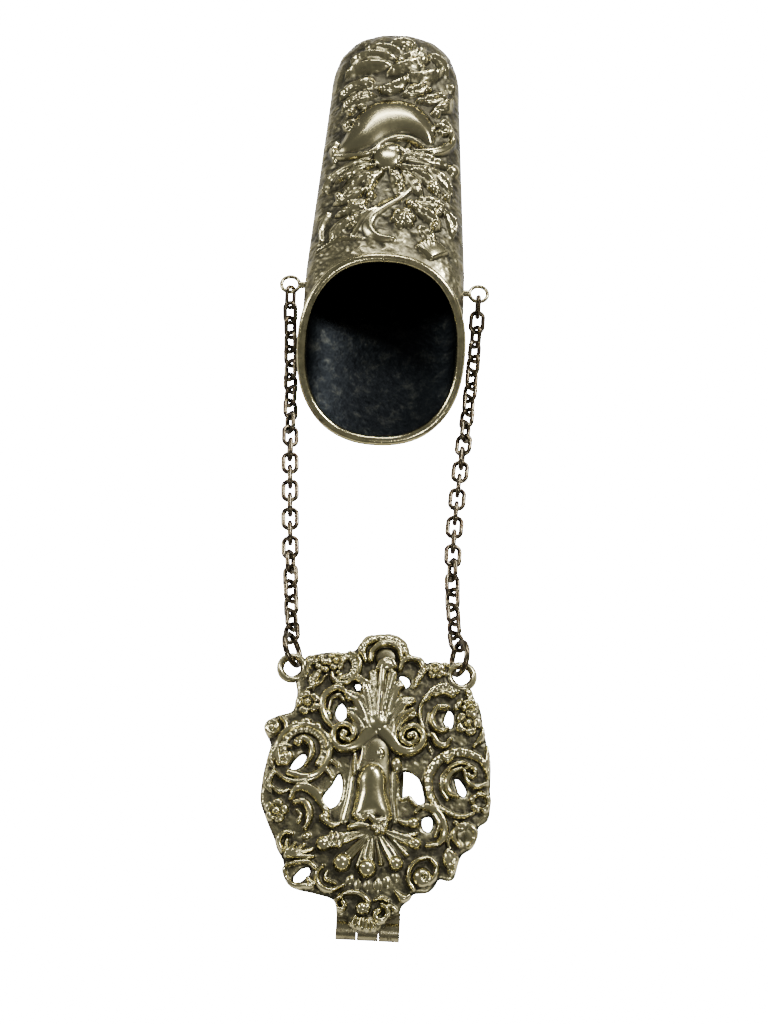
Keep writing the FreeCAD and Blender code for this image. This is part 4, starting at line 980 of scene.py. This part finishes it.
def shell_mesh(name, low_turn, grid, emboss):
    """Closed half shell: outer skin, inner skin of fewer rows, and the edges between them. The
    grid gives the columns, the rows of the sheath and the rows of its closed end."""
    columns, rows, cap_rows = grid
    turns = np.linspace(low_turn, low_turn + np.pi, columns)
    outer, pole = case_grid(turns, rows, cap_rows, 0.0)
    inner, inner_pole = case_grid(turns[::INNER_EVERY], *INNER_GRID, WALL)
    outer = outer + grid_normals(outer) * emboss(outer, turns)[..., None]
    sheets = [outer.reshape(-1, 3), pole[None], inner.reshape(-1, 3), inner_pole[None]]
    points = np.concatenate(sheets)
    points[:, 0] += CASE_ACROSS
    faces = []
    tags = []

    def skin(first, shape, tip, flip, tag):
        count, wide = shape
        index = first + np.arange(count * wide).reshape(count, wide)
        quads = np.stack([index[:-1, :-1], index[:-1, 1:], index[1:, 1:], index[1:, :-1]], -1)
        fan = [(index[-1, k], index[-1, k + 1], tip) for k in range(wide - 1)]
        made = quads.reshape(-1, 4).tolist() + fan
        faces.extend([face[::-1] for face in made] if flip else made)
        tags.extend([tag] * len(made))
        return index

    outer_tip = outer.shape[0] * outer.shape[1]
    inner_first = outer_tip + 1
    inner_tip = inner_first + inner.shape[0] * inner.shape[1]
    out = skin(0, outer.shape[:2], outer_tip, False, 0)
    inn = skin(inner_first, inner.shape[:2], inner_tip, True, 1)
    borders = [
        (out[0], np.linspace(0, 1, len(out[0])), inn[0], np.linspace(0, 1, len(inn[0]))),
        (np.append(out[:, 0], outer_tip), None, np.append(inn[:, 0], inner_tip), None),
        (np.append(out[:, -1], outer_tip), None, np.append(inn[:, -1], inner_tip), None),
    ]
    for first, first_run, second, second_run in borders:
        if first_run is None:
            first_run, second_run = points[first, 1], points[second, 1]
        strip = zipped(first.tolist(), first_run, second.tolist(), second_run)
        faces.extend(strip)
        tags.extend([0] * len(strip))
    mesh = bpy.data.meshes.new(name)
    mesh.from_pydata(points.tolist(), [], faces)
    mesh.polygons.foreach_set("material_index", np.array(tags, np.int32))
    build = bmesh.new()
    build.from_mesh(mesh)
    bmesh.ops.recalc_face_normals(build, faces=build.faces)
    build.to_mesh(mesh)
    build.free()
    return mesh, outer, len(points)


front_wear, front_deep = wear_and_depth(front, 7, 1.0, 0.9)
front_deep = np.clip(front_deep + 0.3 * np.clip((0.5 - front.height) / 0.5, 0, 1), 0, 1)


def fade(turns):
    """1 on the front, falling to 0 before the seams: smooth step of the sine, 0.08 to 0.30."""
    share = np.clip((np.sin(turns) - 0.08) / 0.22, 0, 1)
    return share * share * (3 - 2 * share)


def front_emboss(points, turns):
    """Relief of the front, faded out at the seams and just behind the mouth wire."""
    lift = sample(front, front.height, points[..., 0], points[..., 1])
    from_mouth = np.linalg.norm(points - points[:1], axis=-1)
    from_tip = np.clip((CASE_START + CASE_LENGTH - points[..., 1]) / 2.0, 0, 1)
    return lift * fade(turns)[None, :] * np.clip((from_mouth - 1.0) / 2.0, 0, 1) * from_tip


def no_emboss(points, turns):
    """Relief of the plain back: none."""
    return np.zeros(points.shape[:2])


def painted_shade_interior():
    """Inside of the case: painted shade, nearly black for the shade deep inside it, over unpolished
    bluish sulphide mottled by noise.
    """
    group = node_group("case_inside_painted_shade")
    cloud = noise(group, 330, 6, 0.7, 0.4)
    spots = noise(group, 900, 3, 0.6)
    # Nearly black ramp: painted shade of the case's inside, with mottled bluish tarnish in it.
    colour = ramp(group, cloud, (0.32, (0.003, 0.0035, 0.004)), (0.52, (0.0055, 0.0065, 0.0072)),
                  (0.72, (0.02, 0.021, 0.018)))
    rough = math_node(group, "MULTIPLY_ADD", spots, 0.3, 0.3)
    return metal_material("case_inside_painted_shade", put_out(group, colour, rough, spots), 0.00016)


case_silver = metal_material("embossed_silver", chased_silver(
    "case_silver", (0.52, 0.465, 0.255), (0.23, 0.208, 0.115), SILVER_DARK), SMOOTH)
# The inner skins get painted shade: a nearly black colour for the shade inside the case, over dark
# tarnish.
painted_shade_inside = painted_shade_interior()
seam_silver = metal_material("back_silver", plain_silver(
    "back_sheet", (0.42, 0.36, 0.25), (0.25, 0.21, 0.15), (0.07, 0.06, 0.045), 0.55), SMOOTH)

front_mesh, front_points, front_count = shell_mesh("embossed_front", 0.0, FRONT_GRID, front_emboss)
for label, values, rest in (("wear", front_wear, 0.1), ("deep", front_deep, 0.5)):
    spread = sample(front, values, front_points[..., 0], front_points[..., 1])
    blend_in = fade(np.linspace(0, np.pi, FRONT_GRID[0]))[None, :]
    spread = spread * blend_in + rest * (1 - blend_in)
    point_attribute(front_mesh, label,
                    np.concatenate([spread.ravel(), np.full(front_count - spread.size, rest)]))
finished("embossed_front", front_mesh, [case_silver, painted_shade_inside], "case", ["case_front_shell"])

back_mesh, _, _ = shell_mesh("plain_back", np.pi, BACK_GRID, no_emboss)
finished("plain_back", back_mesh, [seam_silver, painted_shade_inside], "case", ["case_back_shell"])


# ---------------------------------------------------------------- mouth wire
# Heavy half-polished round wire, bent to the oval of the slanted mouth and soldered to its
# edge. It stiffens the thin sheet and is worn bright by the spectacles.
def swept_ring(name, path, radius, sides=20):
    """Closed tube: at each point of a closed path a circle square to it, all kept in step."""
    path = np.asarray(path, float)
    ahead = np.roll(path, -1, 0) - np.roll(path, 1, 0)
    ahead /= np.linalg.norm(ahead, axis=1, keepdims=True)
    flat_normal = np.cross(path[1] - path[0], path[len(path) // 3] - path[0])
    flat_normal /= np.linalg.norm(flat_normal)
    outward = np.cross(ahead, flat_normal)
    angle = np.linspace(0, 2 * np.pi, sides, endpoint=False)[None, :, None]
    radius = np.broadcast_to(np.asarray(radius, float), len(path))[:, None, None]
    points = path[:, None, :] + radius * (outward[:, None, :] * np.cos(angle)
                                          + flat_normal[None, None, :] * np.sin(angle))
    count = len(path)
    index = np.arange(count * sides).reshape(count, sides)
    over, round_ = np.roll(index, -1, 0), np.roll(index, -1, 1)
    quads = np.stack([index, over, np.roll(over, -1, 1), round_], -1).reshape(-1, 4)
    mesh = bpy.data.meshes.new(name)
    mesh.from_pydata(points.reshape(-1, 3).tolist(), [], quads.tolist())
    return mesh


rim_silver = metal_material("rim_silver", plain_silver(
    "rim_wire", (0.58, 0.52, 0.28), (0.32, 0.285, 0.15), (0.08, 0.07, 0.04), 0.58, 300,
    (0.14, 0.2)), DRAWN)
RIM_WIRE, INSET, RIM_STEPS = 1.25, 0.45, 240
angle = np.linspace(0, 2 * np.pi, RIM_STEPS, endpoint=False)
slope = math.atan2(2 * HALF_HEIGHT, MOUTH_RUN)
over = signed_power(np.cos(angle), 2 / SECTION) * (HALF_WIDTH - INSET)
up = signed_power(np.sin(angle), 2 / SECTION) * (HALF_HEIGHT - INSET) / math.sin(slope)
rim_path = np.stack([CASE_ACROSS + over,
                     CASE_START + MOUTH_RUN / 2 + up * math.cos(slope),
                     LIFT + HALF_HEIGHT + up * math.sin(slope)], 1)
uneven = 1 + 0.02 * np.sin(5 * angle) + 0.015 * np.sin(11 * angle + 1)
rim_mesh = swept_ring("mouth_wire", rim_path, RIM_WIRE * uneven)
finished("mouth_wire", rim_mesh, [rim_silver], "case", ["mouth_rim"])


# ---------------------------------------------------------------- plain pieces
# Ears, rings and chain links of drawn wire, the rolled hinge tubes with their pin, and the
# tongue of flat sheet. Their shapes are plain, so they only need their finish.
def dress(nodes, material):
    """Give CAD nodes their finish in place of the one they came with."""
    for name in nodes:
        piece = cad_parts[name]
        piece.data.materials.clear()
        piece.data.materials.append(material)


chain_silver = metal_material("chain_silver", plain_silver(
    "chain_wire", (0.17, 0.145, 0.09), (0.062, 0.05, 0.03), (0.05, 0.03, 0.016), 0.5, 520,
    (0.22, 0.22)), DRAWN)
tongue_silver = metal_material("tongue_silver", plain_silver(
    "tongue_sheet", (0.48, 0.43, 0.24), (0.22, 0.195, 0.11), (0.05, 0.04, 0.025), 0.52, 240,
    (0.22, 0.25)), DRAWN)
names = list(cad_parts)
dress([n for n in names if n.startswith("ear_")], tongue_silver)
dress([n for n in names if n.startswith(("link_row", "jump_ring", "clip_ring"))], chain_silver)
dress([n for n in names if "knuckle" in n or n in ("hinge_pin", "tongue_strip")], tongue_silver)


# ---------------------------------------------------------------- floor, lights and camera
# Not part of the object: a plain pale table, four soft lamps and the camera. The table is seen
# white, and the metal reflects it as a mid grey.
def floor():
    """Square 6 m wide, a hair under the object."""
    half, under = 3, -0.0002
    mesh = bpy.data.meshes.new("floor")
    mesh.from_pydata([(-half, -half, under), (half, -half, under), (half, half, under),
                      (-half, half, under)], [], [(0, 1, 2, 3)])
    material = bpy.data.materials.new("floor")
    material.use_nodes = True
    tree = material.node_tree
    shader = tree.nodes["Principled BSDF"]
    shader.inputs["Base Color"].default_value = (0.5, 0.49, 0.46, 1.0)
    shader.inputs["Roughness"].default_value = 0.9
    shader.inputs["Emission Color"].default_value = (1.0, 1.0, 1.0, 1.0)
    seen = add(tree, "ShaderNodeLightPath").outputs["Is Camera Ray"]
    tree.links.new(math_node(tree, "MULTIPLY_ADD", seen, 30.0, 0.1),
                   shader.inputs["Emission Strength"])
    mesh.materials.append(material)
    plane = bpy.data.objects.new("floor", mesh)
    bpy.context.scene.collection.objects.link(plane)


def softbox(name, place, target, wide, long, watts):
    """White rectangular lamp at a place, turned to a target; sizes in metres."""
    data = bpy.data.lights.new(name, "AREA")
    data.shape = "RECTANGLE"
    data.size, data.size_y, data.energy = wide, long, watts
    lamp = bpy.data.objects.new(name, data)
    lamp.location = place
    lamp.rotation_mode = "QUATERNION"
    lamp.rotation_quaternion = (Vector(target) - Vector(place)).to_track_quat("-Z", "Y")
    bpy.context.scene.collection.objects.link(lamp)


def camera():
    """Looks down on the object from the clip's end, 25 degrees off the vertical, turned 3."""
    tilt, roll, distance = math.radians(25), math.radians(3), 0.35
    back = Vector((0, -math.sin(tilt), math.cos(tilt)))
    up, side = Vector((0, math.cos(tilt), math.sin(tilt))), Vector((1, 0, 0))
    right = side * math.cos(roll) + up * math.sin(roll)
    top = up * math.cos(roll) - side * math.sin(roll)
    data = bpy.data.cameras.new("camera")
    data.lens, data.sensor_width = 49.5, 36.0
    data.clip_start, data.clip_end = 0.01, 10.0
    eye = bpy.data.objects.new("camera", data)
    frame_of = Matrix((right, top, back)).transposed().to_4x4()
    frame_of.translation = Vector((-0.0012, 0.070, 0.0)) + back * distance
    eye.matrix_world = frame_of
    bpy.context.scene.collection.objects.link(eye)
    bpy.context.scene.camera = eye


world = bpy.data.worlds.new("studio")
world.use_nodes = True
sky = world.node_tree.nodes["Background"]
sky.inputs["Color"].default_value = (0.95, 0.97, 1.0, 1.0)
sky.inputs["Strength"].default_value = 0.21
bpy.context.scene.world = world
floor()
softbox("key", (0.5, 0.55, 0.7), (0, 0.08, 0), 0.18, 0.14, 13.0)
softbox("fill", (-0.75, 0.35, 0.6), (0, 0.08, 0), 0.12, 0.3, 5.0)
softbox("top", (0.0, 1.0, 0.75), (0, 0.1, 0), 0.45, 0.16, 7.0)
softbox("front", (0.25, -0.5, 0.8), (0, 0.05, 0), 0.12, 0.12, 3.0)
camera()
